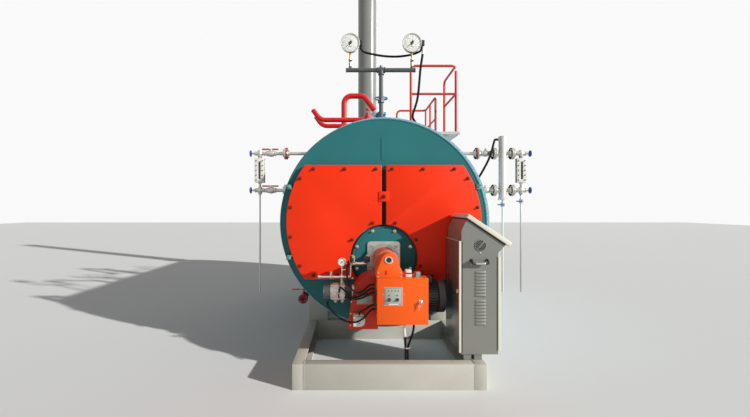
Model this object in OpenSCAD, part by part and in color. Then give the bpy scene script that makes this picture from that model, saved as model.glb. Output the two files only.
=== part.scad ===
// Horizontal fire-tube steam boiler on a steel skid, with its oil burner and control cabinet.
// Millimetres. X runs to the right seen from the burner end, Y from the burner to the chimney, Z up.
// The origin is the centre of the skid's underside.

/* [Skid] */
// Length of the skid
skid_len = 4480; // [4380:10:4600]
// Width over the side beams
skid_w = 1500; // [1460:10:1540]
// Height of every beam
beam_h = 200; // [180:5:210]
// Width of a beam's flanges
beam_flange = 90; // [75:1:105]
// Thickness of a beam's web
beam_web = 8; // [6:1:12]
// Thickness of a beam's flanges
beam_lip = 11; // [8:1:14]
// Face of the second cross beam behind the front plate
second_beam_at = 570; // [520:10:620]
// Face of the fourth cross beam behind the front plate
fourth_beam_at = 3000; // [2800:10:3200]

/* [Saddles] */
// Width of a saddle post across the boiler
saddle_w = 200; // [160:5:230]
// Depth of a saddle post along the boiler
saddle_depth = 180; // [140:5:220]
// Thickness of the saddle plates
saddle_t = 12; // [8:1:16]

/* [Shell] */
// Overhang of the skid in front of the front plate
front_over = 580; // [560:5:600]
// Height of the boiler's axis
shell_z = 1272; // [1240:1:1290]
// Outer radius of the insulation jacket
jacket_r = 966; // [955:1:975]
// Thickness of shell, insulation and jacket together
jacket_wall = 66; // [50:1:90]
// Length of the jacket
jacket_len = 3680; // [3600:10:3760]
// Sideways offset of the jacket from the front plate's axis
jacket_shift = 12; // [0:1:16]
// Radius of the front plate and of the rear smoke box
plate_r = 952; // [940:1:960]
// Thickness of the front plate
plate_t = 12; // [8:1:16]
// Length of the rear smoke box
rear_box_len = 560; // [500:10:640]
// Wall of the rear smoke box
rear_box_wall = 30; // [20:1:50]

/* [Smoke box covers] */
// Radius of the covers' outer edge
cover_r = 887; // [875:1:890]
// Half the height over a cover's straight edges
cover_half_h = 520; // [500:5:540]
// Thickness of a cover
cover_t = 50; // [40:1:60]
// Gap between the two covers
cover_gap = 40; // [30:1:50]
// Radius of the cut-out round the burner
throat_cut_r = 305; // [298:1:315]

/* [Burner] */
// Height of the burner's axis
burner_z = 946; // [935:1:955]
// Radius of the raised disc that carries the burner
throat_r = 288; // [280:1:294]
// Thickness of that disc
throat_t = 20; // [14:1:26]
// Side of the burner's square flange
burner_flange_w = 300; // [290:2:320]
// Thickness of the burner's flange
burner_flange_t = 12; // [8:1:16]
// Outer radius of the cast collar on the flange
collar_r = 124; // [116:1:130]
// Length of the collar
collar_len = 40; // [30:1:50]
// Radius of the burner head
head_r = 100; // [94:1:106]
// Radius of the blast tube
blast_r = 88; // [80:1:92]
// Reach of the burner head in front of the front plate
head_reach = 575; // [560:1:590]
// Left side of the burner's control box
box_x0 = -97; // [-100:1:-94]
// Width of the control box
box_w = 393; // [380:1:400]
// Underside of the control box
box_z0 = 509; // [500:1:520]
// Height of the control box
box_h = 355; // [345:1:359]
// Depth of the control box behind its door
box_depth = 102; // [92:1:108]
// Thickness of the control box door
box_door_t = 22; // [18:1:26]
// Front face of the control box door in front of the front plate
box_reach = 600; // [596:1:606]
// Height of the fan, motor and pump shaft
shaft_z = 655; // [645:1:665]
// Distance of that shaft in front of the front plate
shaft_reach = 262; // [255:1:268]
// Radius of the fan scroll
scroll_r = 205; // [195:1:207]
// Left side of the air intake
intake_x0 = -321; // [-330:1:-310]
// Underside of the air intake
intake_z0 = 428; // [420:1:440]
// Radius of the burner motor's fins
motor_r = 132; // [122:1:138]
// Length of the burner motor
motor_len = 246; // [230:1:252]
// Radius of the fuel pump
pump_r = 74; // [66:1:80]

/* [Instruments] */
// Distance of the gauge stand and level gauges behind the front plate
gauge_at = 315; // [290:5:340]
// Diameter of the gauge stand's pipe
stand_d = 42; // [36:1:48]
// Height of the gauge stand's crossbar
crossbar_z = 2780; // [2740:5:2820]
// Half the distance between the two pressure gauges
gauge_half = 308; // [290:1:320]
// Height of the pressure gauges
gauge_z = 3048; // [3030:1:3060]
// Radius of a pressure gauge
gauge_r = 95; // [80:1:100]
// Height of the upper level connections
level_top = 1945; // [1930:1:1960]
// Height of the lower level connections
level_low = 1577; // [1560:1:1590]
// Diameter of the level connections
level_d = 34; // [30:1:38]
// Distance of the left level gauge from the boiler's axis
left_glass_x = 1212; // [1200:1:1225]
// Distance of the right level gauge from the boiler's axis
right_glass_x = 1400; // [1390:1:1410]
// Distance of the electrode column from the boiler's axis
column_x = 1216; // [1208:1:1222]
// Diameter of the electrode column
column_d = 76; // [68:1:80]
// Lower end of the long drain pipes
drain_z = 560; // [450:5:700]

/* [Top of the boiler] */
// Outer diameter of the chimney
stack_d = 360; // [330:2:390]
// Wall of the chimney
stack_wall = 6; // [4:1:10]
// Top of the chimney above the ground
stack_top = 6000; // [5500:10:6200]
// Chimney axis behind the front plate
stack_at = 3960; // [3940:5:3980]
// Diameter of the steam pipe
steam_d = 76; // [68:1:84]
// Steam valve behind the front plate
steam_at = 1900; // [1860:5:1940]
// Diameter of the safety valves' discharge pipes
vent_d = 57; // [50:1:62]
// First safety valve behind the front plate
vent_at = 1060; // [1040:5:1080]
// Distance between the two safety valves
vent_pitch = 340; // [320:5:360]

/* [Platform] */
// Front edge of the platform behind the front plate
deck_at = 960; // [940:5:975]
// Length of the platform
deck_len = 1430; // [1420:5:1460]
// Left edge of the platform
deck_x0 = 350; // [340:1:360]
// Width of the platform
deck_w = 620; // [605:5:640]
// Upper face of the platform
deck_z = 2292; // [2285:1:2300]
// Diameter of the guard rails
rail_d = 30; // [26:1:34]
// Height of the top rail
rail_z = 3070; // [3040:5:3100]

/* [Control cabinet] */
// Left side of the cabinet
cabinet_x0 = 576; // [576:1:584]
// Width of the cabinet between its doors
cabinet_w = 290; // [280:1:296]
// Front of the cabinet in front of the front plate
cabinet_reach = 500; // [490:1:510]
// Depth of the cabinet
cabinet_depth = 432; // [420:1:438]
// Underside of the cabinet above the skid
cabinet_foot = 46; // [40:1:60]
// Thickness of the cabinet doors
cabinet_door_t = 20; // [16:1:24]
// Thickness of the cabinet roof
roof_t = 34; // [26:1:40]

/* [Hidden] */
$fn = 64;
// Clearance where a curved face rests on another piece
seat = 0.3;
// Radial clearance of a hinge pin or valve stem
pin_fit = 0.08;
front_y = -skid_len / 2 + front_over;
function behind(d) = front_y + d;
inner_x = skid_w / 2 - beam_flange;
jacket_end = behind(plate_t + jacket_len);
rear_end = jacket_end + rear_box_len;
throat_face = behind(-throat_t);
flange_face = throat_face - burner_flange_t;
collar_face = flange_face - collar_len;
box_front = behind(-box_reach);
box_seam = box_front + box_door_t;
shaft_y = behind(-shaft_reach);
gauge_y = behind(gauge_at);
steam_y = behind(steam_at);
stack_y = behind(stack_at);
cabinet_front = behind(-cabinet_reach);
cabinet_z0 = beam_h + cabinet_foot;
cabinet_x1 = cabinet_x0 + cabinet_w;
// Height of the jacket above the ground at a distance x from the front plate's axis
function jacket_top(x) = shell_z + sqrt(pow(jacket_r, 2) - pow(x - jacket_shift, 2));
// Distance of the jacket's side from the front plate's axis at height z
function jacket_side(z) = sqrt(pow(jacket_r, 2) - pow(z - shell_z, 2));

teal = [0.20, 0.46, 0.47];
cover_red = [0.95, 0.25, 0.10];
burner_orange = [0.97, 0.42, 0.11];
rail_red = [0.80, 0.18, 0.15];
frame_grey = [0.72, 0.71, 0.66];
cabinet_grey = [0.50, 0.50, 0.47];
cream = [0.92, 0.91, 0.85];
dark_pipe = [0.27, 0.28, 0.28];
silver = [0.76, 0.76, 0.74];
valve_blue = [0.12, 0.42, 0.70];
jacket_blue = [0.66, 0.77, 0.82];
black = [0.08, 0.08, 0.09];

// Shapes that several pieces use

module rod_x(x0, y, z, len, r) translate([x0, y, z]) rotate([0, 90, 0]) cylinder(h = len, r = r);
module rod_y(x, y0, z, len, r) translate([x, y0, z]) rotate([-90, 0, 0]) cylinder(h = len, r = r);
module rod_z(x, y, z0, len, r) translate([x, y, z0]) cylinder(h = len, r = r);
// A profile drawn in X and Z, from y0 to y0 + t
module plate_xz(y0, t) translate([0, y0 + t, 0]) rotate([90, 0, 0]) linear_extrude(t) children();
// A block between two corners
module block(a, b) translate(a) cube(b - a);

// What is left of a piece outside the jacket
module off_jacket() difference() {
    children();
    rod_y(jacket_shift, behind(plate_t) - 1, shell_z, jacket_len + 2, jacket_r + seat, $fn = 160);
}

function unit(v) = v / norm(v);
function side_of(w) = abs(w[2]) < 0.9 ? unit(cross(w, [0, 0, 1])) : unit(cross(w, [1, 0, 0]));
module frame_at(p, x, y, z)
    multmatrix([[x[0], y[0], z[0], p[0]], [x[1], y[1], z[1], p[1]],
                [x[2], y[2], z[2], p[2]], [0, 0, 0, 1]]) children();
module straight(a, b, d) {
    w = unit(b - a);
    u = side_of(w);
    frame_at(a, u, cross(w, u), w) cylinder(h = norm(b - a), d = d);
}
function turn_at(p, i) =
    i == 0 || i == len(p) - 1 ? 0 : acos(unit(p[i] - p[i - 1]) * unit(p[i + 1] - p[i]));
module elbow(a, corner, b, r, d) {
    u = unit(corner - a);
    v = unit(b - corner);
    n = unit(v - (u * v) * u);
    turn = acos(u * v);
    frame_at(corner - u * r * tan(turn / 2) + n * r, -n, u, cross(-n, u))
        rotate_extrude(angle = turn) translate([r, 0]) circle(d = d);
}
// The weld bead that joins two lengths of a pipe of diameter d, centred on p
module weld(p, w, d) straight(p - 5 * w, p + 5 * w, d + 5);
// A pipe of diameter d along points, its corners rounded with radius r
module pipe(p, d, r) {
    for (i = [0 : len(p) - 2]) {
        u = unit(p[i + 1] - p[i]);
        straight(p[i] + u * r * tan(turn_at(p, i) / 2),
                 p[i + 1] - u * r * tan(turn_at(p, i + 1) / 2), d);
    }
    for (i = [1 : 1 : len(p) - 2]) elbow(p[i - 1], p[i], p[i + 1], r, d);
}
// A point on the smooth curve through the points p, at parameter t from 0 to len(p) - 1
function near(p, i) = p[min(max(i, 0), len(p) - 1)];
function on_curve(p, t) =
    let (i = min(floor(t), len(p) - 2), f = t - i,
         a = near(p, i - 1), b = near(p, i), c = near(p, i + 1), d = near(p, i + 2))
    0.5 * (2 * b + (c - a) * f + (2 * a - 5 * b + 4 * c - d) * f * f
           + (3 * b - a - 3 * c + d) * f * f * f);
// A cable of diameter d along the smooth curve through points; side is never along the cable
module cable(p, d, side, steps = 3) {
    sides = 8;
    rings = (len(p) - 1) * steps;
    centres = [for (k = [0 : rings]) on_curve(p, k / steps)];
    points = [for (k = [0 : rings])
        let (w = unit(near(centres, k + 1) - near(centres, k - 1)),
             u = unit(cross(w, side)), v = cross(w, u))
        for (j = [0 : sides - 1])
            centres[k] + d / 2 * (u * cos(360 * j / sides) + v * sin(360 * j / sides))];
    walls = [for (k = [0 : rings - 1]) for (j = [0 : sides - 1])
        let (m = (j + 1) % sides)
        [k * sides + j, k * sides + m, (k + 1) * sides + m, (k + 1) * sides + j]];
    start = [for (j = [0 : sides - 1]) sides - 1 - j];
    last = [for (j = [0 : sides - 1]) rings * sides + j];
    polyhedron(points = points, faces = concat(walls, [start, last]), convexity = 6);
}

// Skid

module channel_profile() {
    square([beam_web, beam_h]);
    square([beam_flange, beam_lip]);
    translate([0, beam_h - beam_lip]) square([beam_flange, beam_lip]);
}
module side_beam() {
    translate([-skid_w / 2, skid_len / 2, 0]) rotate([90, 0, 0]) linear_extrude(skid_len) channel_profile();
    for (y = [-skid_len / 2, skid_len / 2 - beam_web])
        translate([-skid_w / 2, y, 0]) cube([beam_flange, beam_web, beam_h]);
}
module skid_beam_left() color(frame_grey) side_beam();
module skid_beam_right() color(frame_grey) mirror([1, 0, 0]) side_beam();
// A cross beam with its web on the face at y0, its flanges pointing the way that reach says
module cross_beam(y0, reach)
    translate([-inner_x, y0, 0]) scale_y(reach) rotate([90, 0, 90])
        linear_extrude(2 * inner_x) channel_profile();
module scale_y(way) mirror([0, way < 0 ? 1 : 0, 0]) children();
module skid_front_beam() color(frame_grey) cross_beam(-skid_len / 2, 1);
module skid_second_beam() color(frame_grey) cross_beam(behind(second_beam_at), 1);
module skid_middle_beam() color(frame_grey) cross_beam(-beam_flange / 2, 1);
module skid_fourth_beam() color(frame_grey) cross_beam(behind(fourth_beam_at), 1);
module skid_rear_beam() color(frame_grey) cross_beam(skid_len / 2, -1);

// One saddle post: two webs and an outer plate under a curved pad
module post_reach(way, inner, outer)
    polygon([[way * inner, beam_h], [way * outer, beam_h], [way * outer, shell_z], [way * inner, shell_z]]);
module saddle_post(y0, way) color(frame_grey) {
    inner = skid_w / 2 - saddle_w;
    outer = skid_w / 2;
    pad_r = jacket_r + seat;
    for (y = [y0, y0 + saddle_depth - saddle_t]) plate_xz(y, saddle_t) difference() {
        post_reach(way, inner, outer);
        translate([jacket_shift, shell_z]) circle(pad_r, $fn = 160);
        // cut back above the pad's upper end
        translate([-outer - 1, shell_z - jacket_side_at(outer) + saddle_t])
            square([2 * outer + 2, shell_z]);
    }
    plate_xz(y0, saddle_depth) intersection() {
        difference() {
            translate([jacket_shift, shell_z]) circle(pad_r + saddle_t, $fn = 160);
            translate([jacket_shift, shell_z]) circle(pad_r, $fn = 160);
        }
        post_reach(way, inner, outer);
    }
    plate_xz(y0, saddle_depth) difference() {
        polygon([[way * (outer - saddle_t), beam_h], [way * outer, beam_h],
                 [way * outer, shell_z - jacket_side_at(outer) + saddle_t],
                 [way * (outer - saddle_t), shell_z - jacket_side_at(outer) + saddle_t]]);
        translate([jacket_shift, shell_z]) circle(pad_r, $fn = 160);
    }
}
function jacket_side_at(x) = sqrt(pow(jacket_r, 2) - pow(x, 2));
module saddle_front_left() saddle_post(behind(second_beam_at), -1);
module saddle_front_right() saddle_post(behind(second_beam_at), 1);
module saddle_rear_left() saddle_post(behind(fourth_beam_at), -1);
module saddle_rear_right() saddle_post(behind(fourth_beam_at), 1);

// Shell and its ends

module shell_jacket() color(jacket_blue) difference() {
    rod_y(jacket_shift, behind(plate_t), shell_z, jacket_len, jacket_r, $fn = 160);
    rod_y(jacket_shift, behind(plate_t) - 1, shell_z, jacket_len + 2, jacket_r - jacket_wall, $fn = 160);
}
module front_plate() color(teal) {
    difference() {
        rod_y(0, front_y, shell_z, plate_t, plate_r, $fn = 160);
        rod_y(0, front_y - 1, burner_z, plate_t + 2, blast_r + 2);
    }
    // a flat bar welded on the upper half
    bar_w = 40;
    bar_z0 = 1842;
    bar_len = 212;
    translate([-bar_w / 2, front_y - 4, bar_z0]) cube([bar_w, 4, bar_len]);
    // clamp lugs between the covers and the plate's edge
    lug_z = 320;
    lug_r = (cover_r + plate_r) / 2;
    for (way = [-1, 1], up = [-1, 1]) {
        x = way * sqrt(pow(lug_r, 2) - pow(lug_z, 2));
        translate([x - 20, behind(-36), shell_z + up * lug_z - 22]) cube([40, 36, 44]);
    }
}
module rear_smoke_box() color(teal) difference() {
    rod_y(0, jacket_end, shell_z, rear_box_len, plate_r, $fn = 160);
    rod_y(0, jacket_end - 1, shell_z, rear_box_len + 2, plate_r - rear_box_wall, $fn = 160);
    rod_z(0, stack_y, shell_z + plate_r / 2, plate_r, stack_d / 2 - stack_wall);
}
module rear_cover() color(teal) {
    rod_y(0, rear_end, shell_z, plate_t, plate_r - 30, $fn = 160);
    // the access door's raised disc, its hinge strap and its clamp bolts
    door_r = 300;
    rod_y(0, rear_end + plate_t, shell_z - 120, 30, door_r);
    for (k = [0 : 7]) {
        a = 22.5 + 45 * k;
        rod_y((door_r - 25) * cos(a), rear_end + plate_t, shell_z - 120 + (door_r - 25) * sin(a), 50, 12);
    }
    for (k = [0 : 15]) {
        a = 360 * k / 16;
        rod_y((plate_r - 60) * cos(a), rear_end, shell_z + (plate_r - 60) * sin(a), plate_t + 14, 11);
    }
}
module stack() color(dark_pipe) {
    // the chimney rises from a saddle plate cut to the smoke box's curve
    difference() {
        union() {
            rod_z(0, stack_y, shell_z + plate_r / 2, stack_top - shell_z - plate_r / 2, stack_d / 2);
            rod_z(0, stack_y, stack_flange_z, 24, stack_d / 2 + 45);
        }
        rod_z(0, stack_y, 0, stack_top + 1, stack_d / 2 - stack_wall);
        rod_y(0, jacket_end - 1, shell_z, rear_box_len + 2, plate_r + seat, $fn = 160);
    }
}
stack_flange_z = shell_z + plate_r + 210;

// Smoke box covers and their bolts

module cover(way) color(cover_red) plate_xz(behind(-cover_t), cover_t) difference() {
    intersection() {
        translate([0, shell_z]) circle(cover_r, $fn = 160);
        translate([way < 0 ? -cover_r : cover_gap / 2, shell_z - cover_half_h])
            square([cover_r - cover_gap / 2, 2 * cover_half_h]);
    }
    translate([0, burner_z]) circle(throat_cut_r);
}
module cover_left() cover(-1);
module cover_right() cover(1);
module cover_bolt(x, z) rod_y(x, behind(-cover_t) - 12, z, 12, 13, $fn = 6);
module cover_bolts() color(cover_red) {
    face = behind(-cover_t);
    for (way = [-1, 1]) {
        for (x = [74, 357, 640]) cover_bolt(way * x, shell_z + cover_half_h - 38);
        for (a = [-27.5, -9, 9, 27.5]) cover_bolt(way * (cover_r - 28) * cos(a), shell_z + (cover_r - 28) * sin(a));
        for (x = [430, 640]) cover_bolt(way * x, shell_z - cover_half_h + 38);
        for (a = [-12, 30, 72]) cover_bolt(way * (throat_cut_r + 30) * cos(a), burner_z + (throat_cut_r + 30) * sin(a));
    }
    // the square cleat that bridges the gap
    cleat = 92;
    cleat_z = shell_z + 233;
    translate([-cleat / 2, face - 8, cleat_z - cleat / 2]) cube([cleat, 8, cleat]);
    rod_y(0, face - 24, cleat_z, 16, 13, $fn = 6);
}

// Burner

module throat_disc() color(teal) difference() {
    union() {
        rod_y(0, throat_face, burner_z, throat_t, throat_r, $fn = 120);
        for (k = [0 : 7]) {
            a = 22.5 + 45 * k;
            rod_y((throat_r - 25) * cos(a), throat_face - 16, burner_z + (throat_r - 25) * sin(a), 17, 11, $fn = 6);
        }
    }
    rod_y(0, throat_face - 1, burner_z, throat_t + 2, blast_r + 2);
}
module burner_flange() color(silver) difference() {
    union() {
        edge_r = 30;
        half = burner_flange_w / 2 - edge_r;
        plate_xz(flange_face, burner_flange_t) translate([0, burner_z]) union() {
            square([burner_flange_w, 2 * half], center = true);
            square([2 * half, burner_flange_w], center = true);
            for (x = [-half, half], z = [-half, half]) translate([x, z]) circle(edge_r);
        }
        rod_y(0, collar_face, burner_z, collar_len, collar_r);
        for (x = [-112, 112], z = [-112, 112]) rod_y(x, flange_face - 14, burner_z + z, 14, 12, $fn = 6);
    }
    rod_y(0, collar_face - 1, burner_z, collar_len + burner_flange_t + 2, blast_r + 1);
}
module burner_head() color(burner_orange) {
    hood_len = 215;
    hood_y = behind(-head_reach);
    box_top = box_z0 + box_h;
    lean = 32;
    // blast tube into the furnace, and the round casting behind the hood
    difference() {
        rod_y(0, collar_face, burner_z, 260, blast_r);
        rod_y(0, collar_face + 100, burner_z, 161, blast_r - 8);
    }
    rod_y(0, hood_y + hood_len, burner_z, collar_face - hood_y - hood_len, head_r);
    // arched hood, its front leaning back above the sight glass's lower edge
    difference() {
        plate_xz(hood_y, hood_len) union() {
            intersection() {
                translate([0, burner_z]) circle(head_r);
                translate([-head_r, box_top]) square([2 * head_r, 2 * head_r]);
            }
            translate([-head_r, box_top]) square([2 * head_r, burner_z - box_top]);
        }
        translate([-head_r - 5, hood_y, burner_z - 34]) rotate([-lean, 0, 0])
            translate([0, -2 * head_r, 0]) cube([2 * head_r + 10, 2 * head_r, 2 * head_r]);
    }
    // neck that brings the fan's air up into the head
    block([-70, shaft_y - 90, shaft_z + scroll_r * 0.7], [90, shaft_y + 90, burner_z - 40]);
}
scroll_x0 = -80;
intake_face = shaft_y - 185;
intake_depth = 330;
// Air intake: a duct that widens downwards under a round cheek
module intake_profile() {
    polygon([[scroll_x0, intake_z0], [intake_x0, intake_z0], [scroll_x0 - scroll_r, shaft_z], [scroll_x0, shaft_z]]);
    intersection() {
        translate([scroll_x0, shaft_z]) circle(scroll_r);
        translate([scroll_x0 - scroll_r, shaft_z]) square([scroll_r, scroll_r]);
    }
}
module fan_housing() color(cover_red) difference() {
    union() {
        // scroll round the shaft
        rod_x(scroll_x0, shaft_y, shaft_z, 325, scroll_r);
        // air intake at the left of the scroll
        plate_xz(intake_face, intake_depth) intake_profile();
    }
    // room for the neck of the head
    block([-71, shaft_y - 91, shaft_z + scroll_r * 0.7 - 1], [91, shaft_y + 91, burner_z]);
}
module burner_motor() color(black) {
    x0 = 245;
    cowl = 62;
    flange = 14;
    rod_x(x0, shaft_y, shaft_z, flange, motor_r + 6);
    rod_x(x0, shaft_y, shaft_z, motor_len - cowl + 10, motor_r - 12);
    for (k = [0 : 23]) translate([x0 + flange - 1, shaft_y, shaft_z]) rotate([360 * k / 24, 0, 0])
        translate([0, -2.5, motor_r - 20]) cube([motor_len - cowl - flange, 5, 20]);
    difference() {
        rod_x(x0 + motor_len - cowl, shaft_y, shaft_z, cowl, motor_r + 3);
        for (r = [24, 48, 72, 96]) difference() {
            rod_x(x0 + motor_len - 8, shaft_y, shaft_z, 20, r + 14);
            rod_x(x0 + motor_len - 9, shaft_y, shaft_z, 22, r);
        }
    }
    // terminal box
    block([x0 + 40, shaft_y - 50, shaft_z + motor_r - 14], [x0 + 140, shaft_y + 50, shaft_z + motor_r + 30]);
}

// Control box on the burner, hinged at its left edge

gland_len = 14;
gland_r = 9;
gland_y = box_seam + 34;
gland_z = [for (drop = [56, 88, 120, 214, 248]) box_z0 + box_h - drop];
gland_x = [box_x0 + 217, box_x0 + 289];

hinge_r = 4;
hinge_pin = 2.5;
box_hinge_x = box_x0 - hinge_r;
box_hinge_y = box_seam - 0.5;
knuckle_len = 50;
box_hinges = [box_z0 + 40, box_z0 + box_h - 40 - knuckle_len];
module control_box() color(burner_orange) {
    wall = 2;
    y0 = box_seam + 1;
    difference() {
        block([box_x0, y0, box_z0], [box_x0 + box_w, box_seam + box_depth, box_z0 + box_h]);
        block([box_x0 + wall, y0 - 1, box_z0 + wall],
              [box_x0 + box_w - wall, box_seam + box_depth - wall, box_z0 + box_h - wall]);
    }
    for (z = box_hinges) {
        // leaf on the box's side, knuckle at its lower half and the pin
        block([box_x0 - 2, box_seam + 1, z], [box_x0, box_seam + 24, z + knuckle_len / 2 - 1]);
        rod_z(box_hinge_x, box_hinge_y, z, knuckle_len / 2 - 1, hinge_r);
        block([box_hinge_x, box_hinge_y, z], [box_x0, box_seam + 3, z + knuckle_len / 2 - 1]);
        rod_z(box_hinge_x, box_hinge_y, z, knuckle_len, hinge_pin);
    }
}
module control_box_door() color(burner_orange) {
    lip = 2;
    difference() {
        block([box_x0, box_front, box_z0], [box_x0 + box_w, box_seam, box_z0 + box_h]);
        block([box_x0 + lip, box_front + lip, box_z0 + lip],
              [box_x0 + box_w - lip, box_seam + 1, box_z0 + box_h - lip]);
    }
    for (z = box_hinges) {
        z1 = z + knuckle_len / 2;
        difference() {
            union() {
                rod_z(box_hinge_x, box_hinge_y, z1, knuckle_len / 2, hinge_r);
                block([box_hinge_x, box_hinge_y - hinge_r, z1], [box_x0 + 1, box_hinge_y, z1 + knuckle_len / 2]);
            }
            rod_z(box_hinge_x, box_hinge_y, z1 - 1, knuckle_len, hinge_pin + pin_fit);
        }
    }
    // operator panel with its lamps and two selector knobs
    panel = [box_x0 + 58, box_z0 + 153, 134, 132];
    block([panel[0], box_front - 4, panel[1]], [panel[0] + panel[2], box_front, panel[1] + panel[3]]);
    for (k = [0 : 3]) rod_y(panel[0] + 30 + 25 * k, box_front - 7, panel[1] + 108, 4, 4, $fn = 24);
    for (k = [0 : 1]) {
        rod_y(panel[0] + 34 + 62 * k, box_front - 8, panel[1] + 74, 5, 5, $fn = 24);
        rod_y(panel[0] + 34 + 62 * k, box_front - 18, panel[1] + 40, 15, 11, $fn = 32);
    }
    // lock with its key
    lock_x = box_x0 + 333;
    lock_z = box_z0 + 176;
    rod_y(lock_x, box_front - 8, lock_z, 9, 13, $fn = 32);
    block([lock_x - 1.5, box_front - 30, lock_z - 12], [lock_x + 1.5, box_front - 7, lock_z + 6]);
}

// Oil supply

pump_x1 = intake_x0;
pump_z = shaft_z + 35;
pump_len = 150;
manifold_z = pump_z + 124;
manifold_d = 22;
fitting_r = 15;
module fuel_pump() color(silver) difference() {
    pump_body();
    // seated on the intake's side
    plate_xz(intake_face, intake_depth) translate([-seat, 0]) intake_profile();
}
module pump_body() {
    x0 = pump_x1 - pump_len;
    rod_x(x0, shaft_y, pump_z, pump_len + 50, pump_r - 14);
    rod_x(x0 + 20, shaft_y, pump_z, 46, pump_r);
    rod_x(x0 + 86, shaft_y, pump_z, 30, pump_r);
    // bolts of the two covers
    for (k = [0 : 5]) rod_x(x0 + 10, shaft_y + (pump_r - 12) * cos(60 * k), pump_z + (pump_r - 12) * sin(60 * k), 116, 7);
    // ribbed filter cap
    for (k = [0 : 4]) rod_x(x0 - 56 + 11 * k, shaft_y, pump_z, 6, pump_r - 18);
    rod_x(x0 - 56, shaft_y, pump_z, 60, pump_r - 26);
    // ports
    for (x = [x0 + 43, x0 + 100]) rod_z(x, shaft_y, pump_z - pump_r - 14, 40, 11);
    rod_z(x0 + 97, shaft_y, pump_z, manifold_z - pump_z - fitting_r - seat, 12);
    rod_y(x0 + 43, shaft_y - pump_r - 26, pump_z, 50, 15);
}
module fuel_pipes() color(silver) {
    x0 = pump_x1 - 256;
    x1 = pump_x1 + 22;
    rise = manifold_z + 114;
    gauge_x = pump_x1 - 53;
    solenoid_z = rise + 34;
    pipe([[x0, shaft_y, manifold_z], [x1, shaft_y, manifold_z], [x1, shaft_y, rise], [x1 + 115, shaft_y, rise],
          [x1 + 115, shaft_y + 100, rise]], manifold_d - 6, 16);
    rod_x(x0 + 20, shaft_y, manifold_z, x1 - x0 - 60, manifold_d / 2);
    // short plugged riser, gauge riser and the fittings' hexagons
    rod_z(gauge_x - 93, shaft_y, manifold_z, 46, 7);
    rod_z(gauge_x, shaft_y, manifold_z, 100, 7);
    for (x = [x0 + 12, gauge_x - 93, gauge_x, x1 - 26])
        rod_x(x - 13, shaft_y, manifold_z, 26, fitting_r, $fn = 6);
    // small pressure gauge
    rod_y(gauge_x, shaft_y - 16, manifold_z + 130, 32, 35);
    // two solenoid coils on the upper run
    for (x = [x1 + 12, x1 + 139])
        block([x - 22, shaft_y - 24, solenoid_z - 20], [x + 22, shaft_y + 24, solenoid_z + 34]);
    rod_x(x1, shaft_y, rise, 150, 13);
    for (x = [x1 + 12, x1 + 139]) rod_z(x, shaft_y, rise, solenoid_z - rise - 10, 9);
}
module burner_fittings() color(silver) {
    // air damper's servo motor and the air pressure switch on the intake
    block([-250, intake_face - 48, 640], [-124, intake_face, 704]);
    rod_y(-232, intake_face - 66, 514, 66, 50, $fn = 8);
    // sight glass on the hood's leaning face
    translate([0, behind(-head_reach), burner_z - 34]) rotate([-32, 0, 0]) translate([0, 0, 72]) {
        rod_y(0, -7, 0, 7, 33);
    }
    // ignition transformer and flame relay on top of the control box
    block([128, box_seam + 30, box_z0 + box_h], [176, box_seam + 90, box_z0 + box_h + 56]);
    block([200, box_seam + 20, box_z0 + box_h], [252, box_seam + 84, box_z0 + box_h + 44]);
    // cable glands on the box's left side and underside
    for (z = gland_z) rod_x(box_x0 - gland_len, gland_y, z, gland_len, gland_r, $fn = 32);
    for (x = gland_x) rod_z(x, gland_y, box_z0 - gland_len, gland_len, gland_r, $fn = 32);
}
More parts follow.
